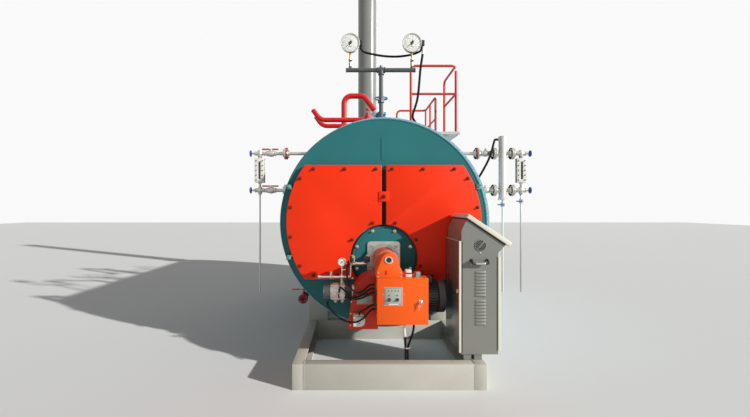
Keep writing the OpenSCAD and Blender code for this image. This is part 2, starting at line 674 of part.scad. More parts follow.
// Each cable leaves its gland straight, for a few diameters
module box_cable(k, route, d, side)
    cable(concat([for (out = [0.5, 9, 20]) [box_x0 - gland_len - out, gland_y, gland_z[k]]], route), d, side);
module burner_cables() color(black) {
    y = gland_y;
    d = 11;
    // to the solenoids, the damper's servo motor, the pump and the pressure switch
    box_cable(0, [[-160, y, 798], [-206, y + 4, 756], [-262, y + 30, 740], [-318, y + 110, 790],
                  [-332, y + 200, 880], [-322, shaft_y, 928], [-322, shaft_y, 940], [-322, shaft_y, 951.5]],
              d, [1, 1, 0]);
    box_cable(1, [[-160, y, 764], [-200, y + 6, 728], [-240, y + 24, 708], [-276, y + 60, 694],
                  [-280, y + 84, 684], [-268, y + 86, 682], [-260, y + 86, 682], [-250.5, y + 86, 682]], d, [0, 0, 1]);
    box_cable(2, [[-160, y - 4, 730], [-214, y, 700], [-276, y + 30, 690], [-330, y + 100, 720],
                  [-376, y + 160, 748], [-388, shaft_y - pump_r - 30, pump_z + pump_r - 20],
                  [-388, shaft_y - pump_r - 10, pump_z + pump_r - 20],
                  [-388, shaft_y - pump_r + 14, pump_z + pump_r - 20]], d, [0, 0, 1]);
    box_cable(3, [[-156, y - 2, 636], [-190, y, 612], [-222, y + 6, 596], [-232, y + 14, 580],
                  [-232, y + 20, 565]], d, [0, 1, 0]);
    box_cable(4, [[-156, y - 8, 596], [-200, y - 14, 548], [-262, y - 8, 516], [-350, y + 60, 508],
                  [-440, y + 240, 516], [-500, y + 420, 530], [-514, front_y - 40, 538],
                  [-514, front_y - 20, 538], [-514, front_y - 0.5, 538]], d, [0, 0, 1]);
    // the two cables from the box's underside run inside the skid to the cabinet
    back = -skid_len / 2 + beam_flange + 14;
    for (k = [0 : 1]) {
        x = gland_x[k];
        end_x = 614 + 22 * k;
        end_y = back + 52 + 12 * k;
        cable(concat([for (out = [0.5, 9, 20]) [x, gland_y, box_z0 - gland_len - out]],
                     [[x + 4 - 12 * k, gland_y + 12, 420], [136 + 20 * k, back - 6, 300], [138 + 18 * k, back + 4, 250],
                      [140 + 22 * k, back + 6 + 14 * k, 130], [170 + 20 * k, back + 8 + 28 * k, 50],
                      [300, back + 10 + 28 * k, 26], [520, back + 14 + 26 * k, 24], [590 + 22 * k, back + 24 + 22 * k, 60],
                      [end_x - 2, end_y - 4, 150]],
                     [for (out = [40, 20, 0.5]) [end_x, end_y, cabinet_z0 - out]]), 13, [0, 1, 0.2]);
    }
}

// Pressure gauges on their stand

module gauge_stand() color(dark_pipe) off_jacket() {
    foot_z = jacket_top(0) - 20;
    rod_z(0, gauge_y, foot_z, crossbar_z - foot_z, stand_d / 2);
    rod_z(0, gauge_y, foot_z, 32, 48);
    rod_x(-gauge_half - 34, gauge_y, crossbar_z, 2 * gauge_half + 68, stand_d / 2);
    // plug on the tee, and the sockets of the two cocks
    rod_z(0, gauge_y, crossbar_z, 44, 15);
    for (way = [-1, 1]) rod_z(way * gauge_half, gauge_y, crossbar_z, stand_d / 2 + 16, 13);
}
module pressure_gauges() color(silver) for (way = [-1, 1]) {
    x = way * gauge_half;
    case_t = 52;
    y0 = gauge_y - case_t / 2;
    socket_z = crossbar_z + stand_d / 2 + 16;
    difference() {
        union() {
            rod_y(x, y0, gauge_z, case_t, gauge_r - 3);
            rod_y(x, y0, gauge_z, 13, gauge_r);
        }
        rod_y(x, y0 - 1, gauge_z, 9, gauge_r - 11);
    }
    // cable box at the right of the case
    block([x + gauge_r - 10, gauge_y - 20, gauge_z - 32], [x + gauge_r + 30, gauge_y + 20, gauge_z + 28]);
    // brass cock with its tee handle
    rod_z(x, gauge_y, socket_z, gauge_z - gauge_r - socket_z + 12, 10);
    rod_z(x, gauge_y, socket_z + 18, 22, 17, $fn = 6);
    rod_y(x, gauge_y - 30, socket_z + 52, 56, 7);
    block([x - 22, gauge_y - 36, socket_z + 48], [x + 22, gauge_y - 28, socket_z + 56]);
}
module gauge_cables() color(black) {
    left_x = -gauge_half + gauge_r + 10;
    right_x = gauge_half + gauge_r;
    box_low = gauge_z - 32;
    y = gauge_y;
    cable(concat([for (down = [0.5, 10, 20]) [left_x, y, box_low - down]],
                 [[left_x + 22, y + 12, box_low - 42], [-140, y + 24, 2962], [0, y + 34, 2938], [150, y + 38, 2930],
                  [290, y + 40, 2946], [right_x - 26, y + 34, 2972], [right_x - 3, y + 10, box_low - 34]],
                 [for (down = [20, 10, 0.5]) [right_x + 1, y, box_low - down]]), 16, [0, 1, 0.05]);
    // conduit down to the jacket
    foot_x = right_x - 53;
    foot_z = jacket_top(foot_x - 10) + 0.6;
    cable(concat([for (down = [0.5, 12, 26]) [right_x + 19.5, y, box_low - down]],
                 [[right_x + 12, y, 2930], [right_x - 10, y, 2780], [right_x - 36, y, 2500], [right_x - 88, y - 4, 2330],
                  [foot_x - 20, y - 8, 2276]],
                 [for (up = [60, 30, 0]) [foot_x, y - 10, foot_z + up]]), 18, [0, 1, 0.05]);
    // lead of the electrodes, from the column's head in front of its pipe to the jacket
    foot = [jacket_side(lead_z) + jacket_shift, y, lead_z];
    out = unit([foot[0] - jacket_shift, 0, lead_z - shell_z]);
    head_x = column_x - column_d / 2 - lead_gland;
    cable(concat([for (left = [0.5, 10, 20]) [head_x - left, y, lead_top]],
                 [[head_x - 32, y - 14, lead_top - 8], [head_x - 52, y - 34, 2030], [head_x - 78, y - 46, level_top],
                  [head_x - 112, y - 46, 1860], [head_x - 152, y - 36, 1780], [head_x - 184, y - 16, 1716]],
                 [for (up = [50, 25, 0.6]) foot + up * out]), 16, [0, 1, 0]);
}

// Water level gauges

flange_r = 58;
flange_t = 14;
// Two flanges face to face, centred on x
module flange_pair_x(x, z) for (s = [-1, 0]) rod_x(x + s * (flange_t + 1), gauge_y, z, flange_t, flange_r);
// A ball valve body centred on x, with its stem
module ball_valve_x(x, z) {
    translate([x, gauge_y, z]) sphere(30);
    rod_x(x - 44, gauge_y, z, 88, 24, $fn = 6);
    rod_z(x, gauge_y, z, 44, 8);
}
// Gauge cock: tee body round the glass, with the stem of its wheel pointing outwards
module gauge_cock(way, x, z) {
    rod_z(way * x, gauge_y, z - 34, 68, 22);
    rod_x(way * x - 52, gauge_y, z, 104, 19);
    rod_x(way > 0 ? x + 30 : -x - 30 - wheel_at, gauge_y, z, wheel_at, wheel_stem_r);
}
wheel_at = 76;
wheel_stem_r = 6;
wheel_r = 33;
module cock_wheel(way, x, z) color(valve_blue) {
    translate([way * (x + 30 + wheel_at - 14), gauge_y, z]) rotate([0, 90, 0]) difference() {
        union() {
            rotate_extrude() translate([wheel_r - 6, 0]) circle(6);
            cylinder(h = 16, r = 13, center = true);
            for (k = [0 : 3]) rotate([0, 0, 90 * k]) translate([0, -4, -3]) cube([wheel_r - 6, 8, 6]);
        }
        cylinder(h = 40, r = wheel_stem_r + pin_fit, center = true);
    }
}
module cock_wheel_left_top() cock_wheel(-1, left_glass_x, level_top);
module cock_wheel_left_low() cock_wheel(-1, left_glass_x, level_low);
module cock_wheel_right_top() cock_wheel(1, right_glass_x, level_top);
module cock_wheel_right_low() cock_wheel(1, right_glass_x, level_low);

module level_pipes_left() color(silver) off_jacket() for (z = [level_top, level_low]) {
    root_x = -jacket_side(z) + jacket_shift + level_d;
    flange_x = -950;
    rod_x(flange_x, gauge_y, z, root_x - flange_x, level_d / 2);
    flange_pair_x(flange_x, z);
    rod_x(-left_glass_x + 52, gauge_y, z, left_glass_x - 52 + flange_x, level_d / 2);
    ball_valve_x(-1100, z);
    // lever of the valve
    block([-1190, gauge_y - 9, z + 40], [-1086, gauge_y + 9, z + 45]);
}
// Flat-glass gauge between two cocks, with its drain pipe
module level_glass(way, x) {
    glass_mid = (level_top + level_low) / 2 + 14;
    glass_h = 244;
    for (z = [level_top, level_low]) gauge_cock(way, x, z);
    difference() {
        block([way * x - 48, gauge_y - 26, glass_mid - glass_h / 2], [way * x + 48, gauge_y + 26, glass_mid + glass_h / 2]);
        block([way * x - 11, gauge_y - 40, glass_mid - glass_h / 2 + 34], [way * x + 11, gauge_y - 18, glass_mid + glass_h / 2 - 34]);
    }
    rod_z(way * x, gauge_y, level_low, level_top - level_low, 10);
    rod_z(way * x, gauge_y, drain_z, level_low - drain_z, 8);
}
module level_glass_left() color(silver) level_glass(-1, left_glass_x);
module level_glass_right() color(silver) {
    level_glass(1, right_glass_x);
    rod_z(right_glass_x, gauge_y, glass_lever_z - 34, 44, 17, $fn = 6);
    rod_y(right_glass_x, gauge_y - lever_at, glass_lever_z - 14, lever_at, 5);
}
module level_pipes_right() color(silver) off_jacket() for (z = [level_top, level_low]) {
    root_x = jacket_side(z) + jacket_shift - level_d;
    rod_x(root_x, gauge_y, z, column_x - column_d / 2 - seat - root_x, level_d / 2);
    flange_pair_x(960, z);
    ball_valve_x(1044, z);
    flange_pair_x(1130, z);
    rod_x(column_x + column_d / 2 + seat, gauge_y, z, right_glass_x - 52 - column_x - column_d / 2 - seat, level_d / 2);
    flange_pair_x(1310, z);
}
lead_top = 2085;
lead_z = 1655;
lead_gland = 14;
module level_column() color(cream) {
    rod_x(column_x - column_d / 2 - lead_gland, gauge_y, lead_top, lead_gland + 4, 12);
    rod_z(column_x, gauge_y, level_low - 78, level_top - level_low + 78 + 160, column_d / 2);
    rod_z(column_x, gauge_y, level_top + 160, 14, column_d / 2 + 8);
    rod_z(column_x, gauge_y, level_low - 96, 20, column_d / 2 + 8);
    rod_z(column_x, gauge_y, drain_z, level_low - 96 - drain_z, 9);
    rod_z(column_x, gauge_y, column_lever_z - 34, 44, 19, $fn = 6);
    rod_y(column_x, gauge_y - lever_at, column_lever_z - 14, lever_at, 5);
}
column_lever_z = level_low - 130;
glass_lever_z = level_low - 96;
lever_at = 30;
// Lever of a drain cock: a bent strip on the stem, which points forwards
module drain_lever(x, z) color(valve_blue) difference() {
    union() {
        rod_y(x, gauge_y - lever_at, z - 14, 8, 11);
        block([x - 58, gauge_y - lever_at, z - 20], [x, gauge_y - lever_at + 4, z - 8]);
    }
    rod_y(x, gauge_y - lever_at - 1, z - 14, 20, 5 + pin_fit);
}
module column_drain_lever() drain_lever(column_x, column_lever_z);
module glass_drain_lever() drain_lever(right_glass_x, glass_lever_z);

// Valves and pipes on top

vent_x = -107;
// The bends that aren't square follow a 3-4-5 triangle
vent_z = round(jacket_top(0)) + 212;
vent_end_x = -670;
vent_dir = [-0.6, 0, 0.8];
vent_bend = 120;
module safety_valve(y) {
    base = jacket_top(vent_x);
    rod_z(vent_x, y, base - 20, 76, 30);
    rod_z(vent_x, y, base + 40, 20, 58);
    rod_z(vent_x, y, base + 60, vent_z - base - 10, 38);
    rod_z(vent_x, y, vent_z + 40, 44, 24);
    // discharge pipe to the left, its end turned up
    pipe([[vent_x, y, vent_z], [vent_end_x, y, vent_z], [vent_end_x, y, vent_z] + 150 * vent_dir], vent_d, vent_bend);
    weld([vent_end_x, y, vent_z] + vent_bend / 2 * vent_dir, vent_dir, vent_d);
}
module safety_valves() color(rail_red) off_jacket() {
    safety_valve(behind(vent_at));
    safety_valve(behind(vent_at + vent_pitch));
}
steam_x = 115;
steam_flange_z = round(jacket_top(0)) + 262;
steam_z = steam_flange_z + 150;
stem_r = 10;
module steam_valve() color(valve_blue) off_jacket() {
    rod_z(steam_x, steam_y, jacket_top(steam_x) - 30, steam_flange_z - jacket_top(steam_x) + 30, steam_d / 2);
    rod_z(steam_x, steam_y, steam_flange_z - 22, 44, 92);
    rod_z(steam_x, steam_y, steam_flange_z, 220, 52);
    translate([steam_x, steam_y, steam_z]) sphere(76);
    // bonnet, yoke and stem
    rod_z(steam_x, steam_y, steam_z + 60, 34, 70);
    for (s = [-1, 1]) rod_z(steam_x, steam_y + s * 36, steam_z + 90, 160, 9);
    rod_z(steam_x, steam_y, steam_z + 240, 18, 46);
    rod_z(steam_x, steam_y, steam_z + 90, 230, stem_r);
    // outlet branch, leaning up to the left
    straight([steam_x, steam_y, steam_z], steam_branch, steam_d + 14);
}
branch_dir = [-0.6, 0, 0.8];
steam_branch = [steam_x, steam_y, steam_z] + 120 * branch_dir;
module steam_valve_wheel() color(valve_blue) translate([steam_x, steam_y, steam_z + 292]) difference() {
    union() {
        rotate_extrude() translate([88, 0]) circle(9);
        cylinder(h = 26, r = 20, center = true);
        for (k = [0 : 4]) rotate([0, 0, 72 * k]) translate([0, -6, -4]) cube([88, 12, 8]);
    }
    cylinder(h = 60, r = stem_r + pin_fit, center = true);
}
steam_leg_x = -408;
steam_leg_z = 2400;
// Height of the pipe's level run over the valve's branch
steam_rise = 232;
steam_crown = round(steam_branch[2]) + steam_rise;
steam_bend = 110;
module steam_pipe() color(rail_red) {
    start = steam_branch + 20 * branch_dir;
    corner = start + (steam_crown - start[2]) / 0.8 * branch_dir;
    difference() {
        union() {
            straight(steam_branch, start, 150);
            pipe([start, corner, [steam_leg_x, steam_y, steam_crown], [steam_leg_x, steam_y, steam_leg_z]],
                 steam_d, steam_bend);
            weld(corner - steam_bend / 2 * branch_dir, branch_dir, steam_d);
            weld(corner - [steam_bend / 2, 0, 0], [1, 0, 0], steam_d);
            rod_z(steam_leg_x, steam_y, steam_leg_z, 20, 92);
        }
        rod_z(steam_leg_x, steam_y, steam_leg_z - 1, 60, steam_d / 2 - 5);
        for (k = [0 : 7]) {
            a = 22.5 + 45 * k;
            rod_z(steam_leg_x + 72 * cos(a), steam_y + 72 * sin(a), steam_leg_z - 1, 22, 9);
        }
    }
}

// Blowdown at the lower left

blow_x = -857;
blow_z = 350;
blow_y = behind(900);
blow_d = 60;
blow_lever_z = blow_z + 86;
module blowdown_valve() color(rail_red) off_jacket() {
    root_x = -jacket_side(blow_z) + jacket_shift + blow_d;
    difference() {
        union() {
            pipe([[root_x, blow_y + 300, blow_z], [blow_x, blow_y + 300, blow_z], [blow_x, blow_y, blow_z]], blow_d, 70);
            rod_y(blow_x, blow_y, blow_z, 18, 56);
            translate([blow_x, blow_y + 100, blow_z]) sphere(46);
            rod_z(blow_x, blow_y + 100, blow_z, 100, 9);
        }
        rod_y(blow_x, blow_y - 1, blow_z, 60, blow_d / 2 - 5);
        for (k = [0 : 3]) {
            a = 45 + 90 * k;
            rod_y(blow_x + 43 * cos(a), blow_y - 1, blow_z + 43 * sin(a), 20, 7);
        }
    }
}
module blowdown_lever() color(rail_red) difference() {
    union() {
        rod_z(blow_x, blow_y + 100, blow_lever_z, 10, 17);
        block([blow_x - 140, blow_y + 90, blow_lever_z + 2], [blow_x, blow_y + 110, blow_lever_z + 8]);
    }
    rod_z(blow_x, blow_y + 100, blow_lever_z - 1, 30, 9 + pin_fit);
}

// Platform and guard rails

deck_t = 30;
deck_y0 = behind(deck_at);
deck_y1 = deck_y0 + deck_len;
deck_x1 = deck_x0 + deck_w;
module platform() color(cream) {
    block([deck_x0, deck_y0, deck_z - deck_t], [deck_x1, deck_y1, deck_z]);
    // legs down to the jacket
    for (y = [deck_y0 + 60, deck_y1 - 100]) for (x = [deck_x0 + 40, deck_x1 - 190])
        difference() {
            block([x, y, shell_z], [x + 50, y + 40, deck_z - deck_t]);
            rod_y(jacket_shift, y - 1, shell_z, 42, jacket_r + seat, $fn = 160);
        }
}
front_rail_y = deck_y0 + 30;
side_rail_y = front_rail_y + 580;
rear_rail_y = deck_y1 - 50;
rail_x0 = deck_x0 + 50;
rail_x1 = deck_x1 - 40;
mid_rail_z = rail_z - 330;
low_rail_z = rail_z - 190;
inner_rail_x = rail_x1 - 105;
module guard_rail_front() color(rail_red) {
    pipe([[rail_x0, front_rail_y, deck_z], [rail_x0, front_rail_y, rail_z], [rail_x1, front_rail_y, rail_z],
          [rail_x1, side_rail_y, rail_z], [rail_x1, side_rail_y, deck_z]], rail_d, 60);
    rod_z(rail_x1, front_rail_y, deck_z, rail_z - deck_z - 60, rail_d / 2);
    rod_x(rail_x0, front_rail_y, mid_rail_z, rail_x1 - rail_x0, rail_d / 2 - 1);
    rod_y(rail_x1, front_rail_y, mid_rail_z, side_rail_y - front_rail_y, rail_d / 2 - 1);
}
module guard_rail_rear() color(rail_red) {
    y0 = side_rail_y + rail_d + 20;
    pipe([[inner_rail_x, y0, deck_z], [inner_rail_x, y0, low_rail_z], [inner_rail_x, rear_rail_y, low_rail_z],
          [rail_x0 - 10, rear_rail_y, low_rail_z], [rail_x0 - 10, rear_rail_y, deck_z]], rail_d, 60);
    for (y = [(y0 + rear_rail_y) / 2, rear_rail_y - 20])
        rod_z(inner_rail_x, y, deck_z, low_rail_z - deck_z, rail_d / 2 - 2);
    rod_y(inner_rail_x, y0, deck_z + 300, rear_rail_y - y0 - 20, rail_d / 2 - 2);
}

// Control cabinet at the skid's right front corner, its sloping roof falling to the right

cab_top_x = cabinet_x0 + 46;
cab_top_z = 1321;
cab_left_z = 1222;
cab_eave_x = cabinet_x1 + 62;
cab_eave_z = 1116;
cab_recess_z = 1046;
cab_y1 = cabinet_front + cabinet_depth;
module cabinet_profile() polygon([
    [cabinet_x0, cabinet_z0], [cabinet_x1, cabinet_z0], [cabinet_x1, cab_recess_z],
    [cab_eave_x, cab_eave_z], [cab_top_x, cab_top_z], [cabinet_x0, cab_left_z]]);
module cabinet_body() color(cabinet_grey) {
    // sheet housing, open behind the right-hand door
    difference() {
        plate_xz(cabinet_front, cabinet_depth) cabinet_profile();
        plate_xz(cabinet_front + cabinet_wall, cabinet_depth - 2 * cabinet_wall) intersection() {
            translate([cabinet_wall, cabinet_wall]) cabinet_profile();
            translate([-cabinet_wall, cabinet_wall]) cabinet_profile();
            translate([0, -1.5 * cabinet_wall]) cabinet_profile();
        }
        block([cabinet_x1 - 2 * cabinet_wall, cabinet_front + door_rim, cabinet_door_z0 + door_rim],
              [cabinet_x1 + 1, cab_y1 - door_rim, cabinet_door_z1 - door_rim]);
    }
    // feet on the skid
    for (x = [cabinet_x0 + 20, skid_w / 2 - 70]) for (y = [cabinet_front + 10, cab_y1 - 60])
        block([x, y, beam_h], [x + 60, y + 50, cabinet_z0]);
    // pull handle on the front
    for (x = [handle_x - 48, handle_x + 48]) rod_y(x, cabinet_front - 34, handle_z, 34, 9);
    rod_x(handle_x - 48, cabinet_front - 34, handle_z, 96, 7);
    // hinge pins of the right-hand door
    for (z = cab_hinges) rod_z(cab_hinge_x, cab_hinge_y, z, knuckle_len, hinge_pin);
    for (z = cab_hinges) {
        rod_z(cab_hinge_x, cab_hinge_y, z, knuckle_len / 2 - 1, hinge_r);
        block([cabinet_x1 - 2, cab_y1, z], [cab_hinge_x, cab_hinge_y + hinge_r, z + knuckle_len / 2 - 1]);
    }
}
cabinet_wall = 3;
door_rim = 20;
cabinet_door_z0 = cabinet_z0 + 30;
cabinet_door_z1 = cab_recess_z - 30;
handle_x = cabinet_x0 + 140;
handle_z = 976;
cab_hinge_x = cabinet_x1 + 1;
cab_hinge_y = cab_y1 + 5;
cab_hinges = [cabinet_z0 + 80, cab_recess_z - 150];
module cabinet_roof() color(cream) {
    slope = atan2(cab_top_z - cab_eave_z, cab_eave_x - cab_top_x);
    run = norm([cab_eave_x - cab_top_x, cab_top_z - cab_eave_z]);
    over = 32;
    translate([cab_top_x, cabinet_front - over / 2, cab_top_z]) rotate([0, slope, 0])
        translate([-12, 0, 0]) cube([run + over + 12, cabinet_depth + over / 2, roof_t]);
}
module cabinet_door() color(cream) {
    block([cabinet_x1 + 1, cabinet_front, cabinet_door_z0],
          [cabinet_x1 + 1 + cabinet_door_t, cab_y1, cabinet_door_z1]);
    for (z = cab_hinges) {
        za = z + knuckle_len / 2;
        difference() {
            union() {
                rod_z(cab_hinge_x, cab_hinge_y, za, knuckle_len / 2, hinge_r);
                block([cab_hinge_x, cab_y1 - 1, za], [cab_hinge_x + hinge_r, cab_hinge_y, za + knuckle_len / 2]);
            }
            rod_z(cab_hinge_x, cab_hinge_y, za - 1, knuckle_len, hinge_pin + pin_fit);
        }
    }
}
module cabinet_panel() color(cream) {
    block([cabinet_x0 - cabinet_door_t, cabinet_front, cabinet_z0 + 10], [cabinet_x0, cab_y1, cab_left_z - 82]);
    rod_x(cabinet_x0 - cabinet_door_t - 12, cabinet_front + 34, 740, 12, 14);
}

skid_beam_left();
skid_beam_right();
skid_front_beam();
skid_second_beam();
skid_middle_beam();
skid_fourth_beam();
skid_rear_beam();
saddle_front_left();
saddle_front_right();
saddle_rear_left();
saddle_rear_right();
shell_jacket();
front_plate();
rear_smoke_box();
rear_cover();
stack();
cover_left();
cover_right();
cover_bolts();
throat_disc();
burner_flange();
burner_head();
fan_housing();
burner_motor();
control_box();
control_box_door();
fuel_pump();
fuel_pipes();
burner_fittings();
burner_cables();
gauge_stand();
pressure_gauges();
gauge_cables();
level_pipes_left();
level_glass_left();
level_pipes_right();
level_column();
level_glass_right();
cock_wheel_left_top();
cock_wheel_left_low();
cock_wheel_right_top();
cock_wheel_right_low();
column_drain_lever();
glass_drain_lever();
safety_valves();
steam_valve();
steam_valve_wheel();
steam_pipe();
blowdown_valve();
blowdown_lever();
platform();
guard_rail_front();
guard_rail_rear();
cabinet_body();
cabinet_roof();
cabinet_door();
cabinet_panel();
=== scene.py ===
# Oil-fired steam boiler on its skid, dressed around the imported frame. All sizes are in metres.
import bpy
import bmesh
import math
from mathutils import Matrix, Vector


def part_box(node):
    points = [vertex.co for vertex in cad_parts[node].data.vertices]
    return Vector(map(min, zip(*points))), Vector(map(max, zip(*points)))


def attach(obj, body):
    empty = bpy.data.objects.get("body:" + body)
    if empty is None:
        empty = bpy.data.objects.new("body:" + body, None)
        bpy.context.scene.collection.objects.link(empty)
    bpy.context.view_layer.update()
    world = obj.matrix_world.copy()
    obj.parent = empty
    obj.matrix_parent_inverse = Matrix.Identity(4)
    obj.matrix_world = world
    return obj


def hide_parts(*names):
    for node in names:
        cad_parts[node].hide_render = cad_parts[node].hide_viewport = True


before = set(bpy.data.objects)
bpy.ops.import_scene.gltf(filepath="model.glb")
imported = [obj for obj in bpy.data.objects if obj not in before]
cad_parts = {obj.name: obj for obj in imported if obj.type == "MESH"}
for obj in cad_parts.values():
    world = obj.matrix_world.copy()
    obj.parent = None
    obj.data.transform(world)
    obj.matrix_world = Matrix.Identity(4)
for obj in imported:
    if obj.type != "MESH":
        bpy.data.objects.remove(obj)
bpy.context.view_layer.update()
scene = bpy.context.scene
print("frame loaded:", len(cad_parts), "nodes")

# Camera at the photograph's standpoint: level, on the axis of the burner's left side
view = {
    "place": (-0.2806, -5.200, 1.410), "lens": 18.48, "sensor": 36.0, "shiftX": 0.0293, "shiftY": -0.002,
}
cameraData = bpy.data.cameras.new("camera")
cameraData.lens = view["lens"]
cameraData.sensor_width = view["sensor"]
cameraData.shift_x = view["shiftX"]
cameraData.shift_y = view["shiftY"]
camera = bpy.data.objects.new("camera", cameraData)
camera.location = view["place"]
camera.rotation_euler = (math.radians(90), 0, 0)
scene.collection.objects.link(camera)
scene.camera = camera
scene.view_settings.view_transform = "Standard"
print("camera placed")


# Colours are written as on a colour card, 0 to 255, and turned into the shader's linear ones
def card(red, green, blue):
    linear = []
    for part in (red, green, blue):
        value = part / 255
        linear.append(value / 12.92 if value <= 0.04045 else ((value + 0.055) / 1.055) ** 2.4)
    return (*linear, 1.0)


def addNode(tree, kind, **settings):
    node = tree.nodes.new(kind)
    for name, value in settings.items():
        setattr(node, name, value)
    return node


def newGroup(name, inputs, outputs):
    group = bpy.data.node_groups.new(name, "ShaderNodeTree")
    for label, kind, value in inputs:
        socket = group.interface.new_socket(name=label, in_out="INPUT", socket_type=kind)
        socket.default_value = value
    for label, kind in outputs:
        group.interface.new_socket(name=label, in_out="OUTPUT", socket_type=kind)
    start = group.nodes.new("NodeGroupInput")
    end = group.nodes.new("NodeGroupOutput")
    return group, start, end


def math2(tree, operation, first, second, clamp=False):
    node = addNode(tree, "ShaderNodeMath", operation=operation, use_clamp=clamp)
    for socket, value in zip(node.inputs, (first, second)):
        if isinstance(value, (int, float)):
            socket.default_value = value
        else:
            tree.links.new(value, socket)
    return node.outputs[0]


def noise(tree, place, scale, detail=3.0, rough=0.55):
    node = addNode(tree, "ShaderNodeTexNoise")
    node.inputs["Detail"].default_value = detail
    node.inputs["Roughness"].default_value = rough
    tree.links.new(place, node.inputs["Vector"])
    if isinstance(scale, (int, float)):
        node.inputs["Scale"].default_value = scale
    else:
        tree.links.new(scale, node.inputs["Scale"])
    return node.outputs["Fac"]


def ramp(tree, value, low, high):
    node = addNode(tree, "ShaderNodeMapRange", clamp=True)
    node.inputs["From Min"].default_value = low
    node.inputs["From Max"].default_value = high
    tree.links.new(value, node.inputs["Value"])
    return node.outputs["Result"]


def mixColour(tree, amount, first, second, blend="MIX"):
    node = addNode(tree, "ShaderNodeMix", data_type="RGBA", blend_type=blend)
    sockets = [node.inputs["Factor"], node.inputs[6], node.inputs[7]]
    for socket, value in zip(sockets, (amount, first, second)):
        if isinstance(value, (int, float, tuple)):
            socket.default_value = value
        else:
            tree.links.new(value, socket)
    return node.outputs[2]


# Uneven tone of a sprayed or cast surface, with its fine relief
def makeMottle():
    colour, number = "NodeSocketColor", "NodeSocketFloat"
    group, start, end = newGroup("mottledCoat", [("Color", colour, (1, 1, 1, 1)), ("Tone", number, 0.08),
        ("Patch", number, 2.5), ("Grain", number, 300.0), ("Relief", number, 0.1),
        ("Roughness", number, 0.4)], [("Color", colour), ("Roughness", number), ("Height", number)])
    place = addNode(group, "ShaderNodeTexCoord").outputs["Object"]
    wide = noise(group, place, start.outputs["Patch"], 5.0)
    fine = noise(group, place, start.outputs["Grain"], 2.0)
    shade = math2(group, "MULTIPLY", math2(group, "SUBTRACT", wide, 0.5), start.outputs["Tone"])
    bright = math2(group, "ADD", math2(group, "MULTIPLY", shade, 4.0), 1.0)
    toned = addNode(group, "ShaderNodeHueSaturation")
    group.links.new(start.outputs["Color"], toned.inputs["Color"])
    group.links.new(bright, toned.inputs["Value"])
    group.links.new(toned.outputs["Color"], end.inputs["Color"])
    spread = math2(group, "MULTIPLY", math2(group, "SUBTRACT", wide, 0.5), 0.35)
    group.links.new(math2(group, "ADD", start.outputs["Roughness"], spread, True), end.inputs["Roughness"])
    group.links.new(math2(group, "MULTIPLY", fine, start.outputs["Relief"]), end.inputs["Height"])
    return group


# Dust that lies on what faces up and gathers near the ground
def makeDust():
    colour, number = "NodeSocketColor", "NodeSocketFloat"
    group, start, end = newGroup("dustFilm", [("Color", colour, (1, 1, 1, 1)), ("Roughness", number, 0.4),
        ("Dust", number, 0.2), ("Dust Color", colour, card(176, 160, 138))],
        [("Color", colour), ("Roughness", number)])
    place = addNode(group, "ShaderNodeTexCoord").outputs["Object"]
    spots = ramp(group, noise(group, place, 9.0, 6.0, 0.65), 0.38, 0.68)
    split = addNode(group, "ShaderNodeSeparateXYZ")
    group.links.new(addNode(group, "ShaderNodeNewGeometry").outputs["Normal"], split.inputs[0])
    facingUp = ramp(group, split.outputs["Z"], 0.25, 1.0)
    height = addNode(group, "ShaderNodeSeparateXYZ")
    group.links.new(place, height.inputs[0])
    low = math2(group, "SUBTRACT", 1.0, ramp(group, height.outputs["Z"], 0.0, 0.7))
    share = math2(group, "ADD", math2(group, "MULTIPLY", facingUp, 0.8), math2(group, "MULTIPLY", low, 0.35))
    cover = math2(group, "MULTIPLY", math2(group, "ADD", math2(group, "MULTIPLY", spots, 0.7), 0.3), share)
    amount = math2(group, "MULTIPLY", cover, start.outputs["Dust"], True)
    group.links.new(mixColour(group, amount, start.outputs["Color"], start.outputs["Dust Color"]),
        end.inputs["Color"])
    dull = math2(group, "ADD", start.outputs["Roughness"], math2(group, "MULTIPLY", amount, 0.5), True)
    group.links.new(dull, end.inputs["Roughness"])
    return group


# Paint rubbed thin along edges, found by comparing the true normal with a rounded one
def makeWear():
    colour, number = "NodeSocketColor", "NodeSocketFloat"
    group, start, end = newGroup("edgeWear", [("Color", colour, (1, 1, 1, 1)), ("Roughness", number, 0.4),
        ("Wear", number, 0.3), ("Worn Color", colour, card(150, 146, 138)), ("Chips", number, 0.0)],
        [("Color", colour), ("Roughness", number)])
    place = addNode(group, "ShaderNodeTexCoord").outputs["Object"]
    bevel = addNode(group, "ShaderNodeBevel", samples=4)
    bevel.inputs["Radius"].default_value = 0.004
    compare = addNode(group, "ShaderNodeVectorMath", operation="DOT_PRODUCT")
    group.links.new(bevel.outputs["Normal"], compare.inputs[0])
    group.links.new(addNode(group, "ShaderNodeNewGeometry").outputs["Normal"], compare.inputs[1])
    edge = ramp(group, math2(group, "SUBTRACT", 1.0, compare.outputs["Value"]), 0.03, 0.25)
    broken = ramp(group, noise(group, place, 42.0, 5.0, 0.7), 0.44, 0.60)
    rubbed = math2(group, "MULTIPLY", math2(group, "MULTIPLY", edge, broken), start.outputs["Wear"])
    pits = ramp(group, noise(group, place, 26.0, 7.0, 0.75), 0.70, 0.735)
    chipped = math2(group, "MULTIPLY", pits, start.outputs["Chips"])
    amount = math2(group, "MAXIMUM", rubbed, chipped, True)
    group.links.new(mixColour(group, amount, start.outputs["Color"], start.outputs["Worn Color"]),
        end.inputs["Color"])
    group.links.new(math2(group, "ADD", start.outputs["Roughness"], math2(group, "MULTIPLY", amount, 0.25),
        True), end.inputs["Roughness"])
    return group


groups = {"mottle": makeMottle(), "dust": makeDust(), "wear": makeWear()}


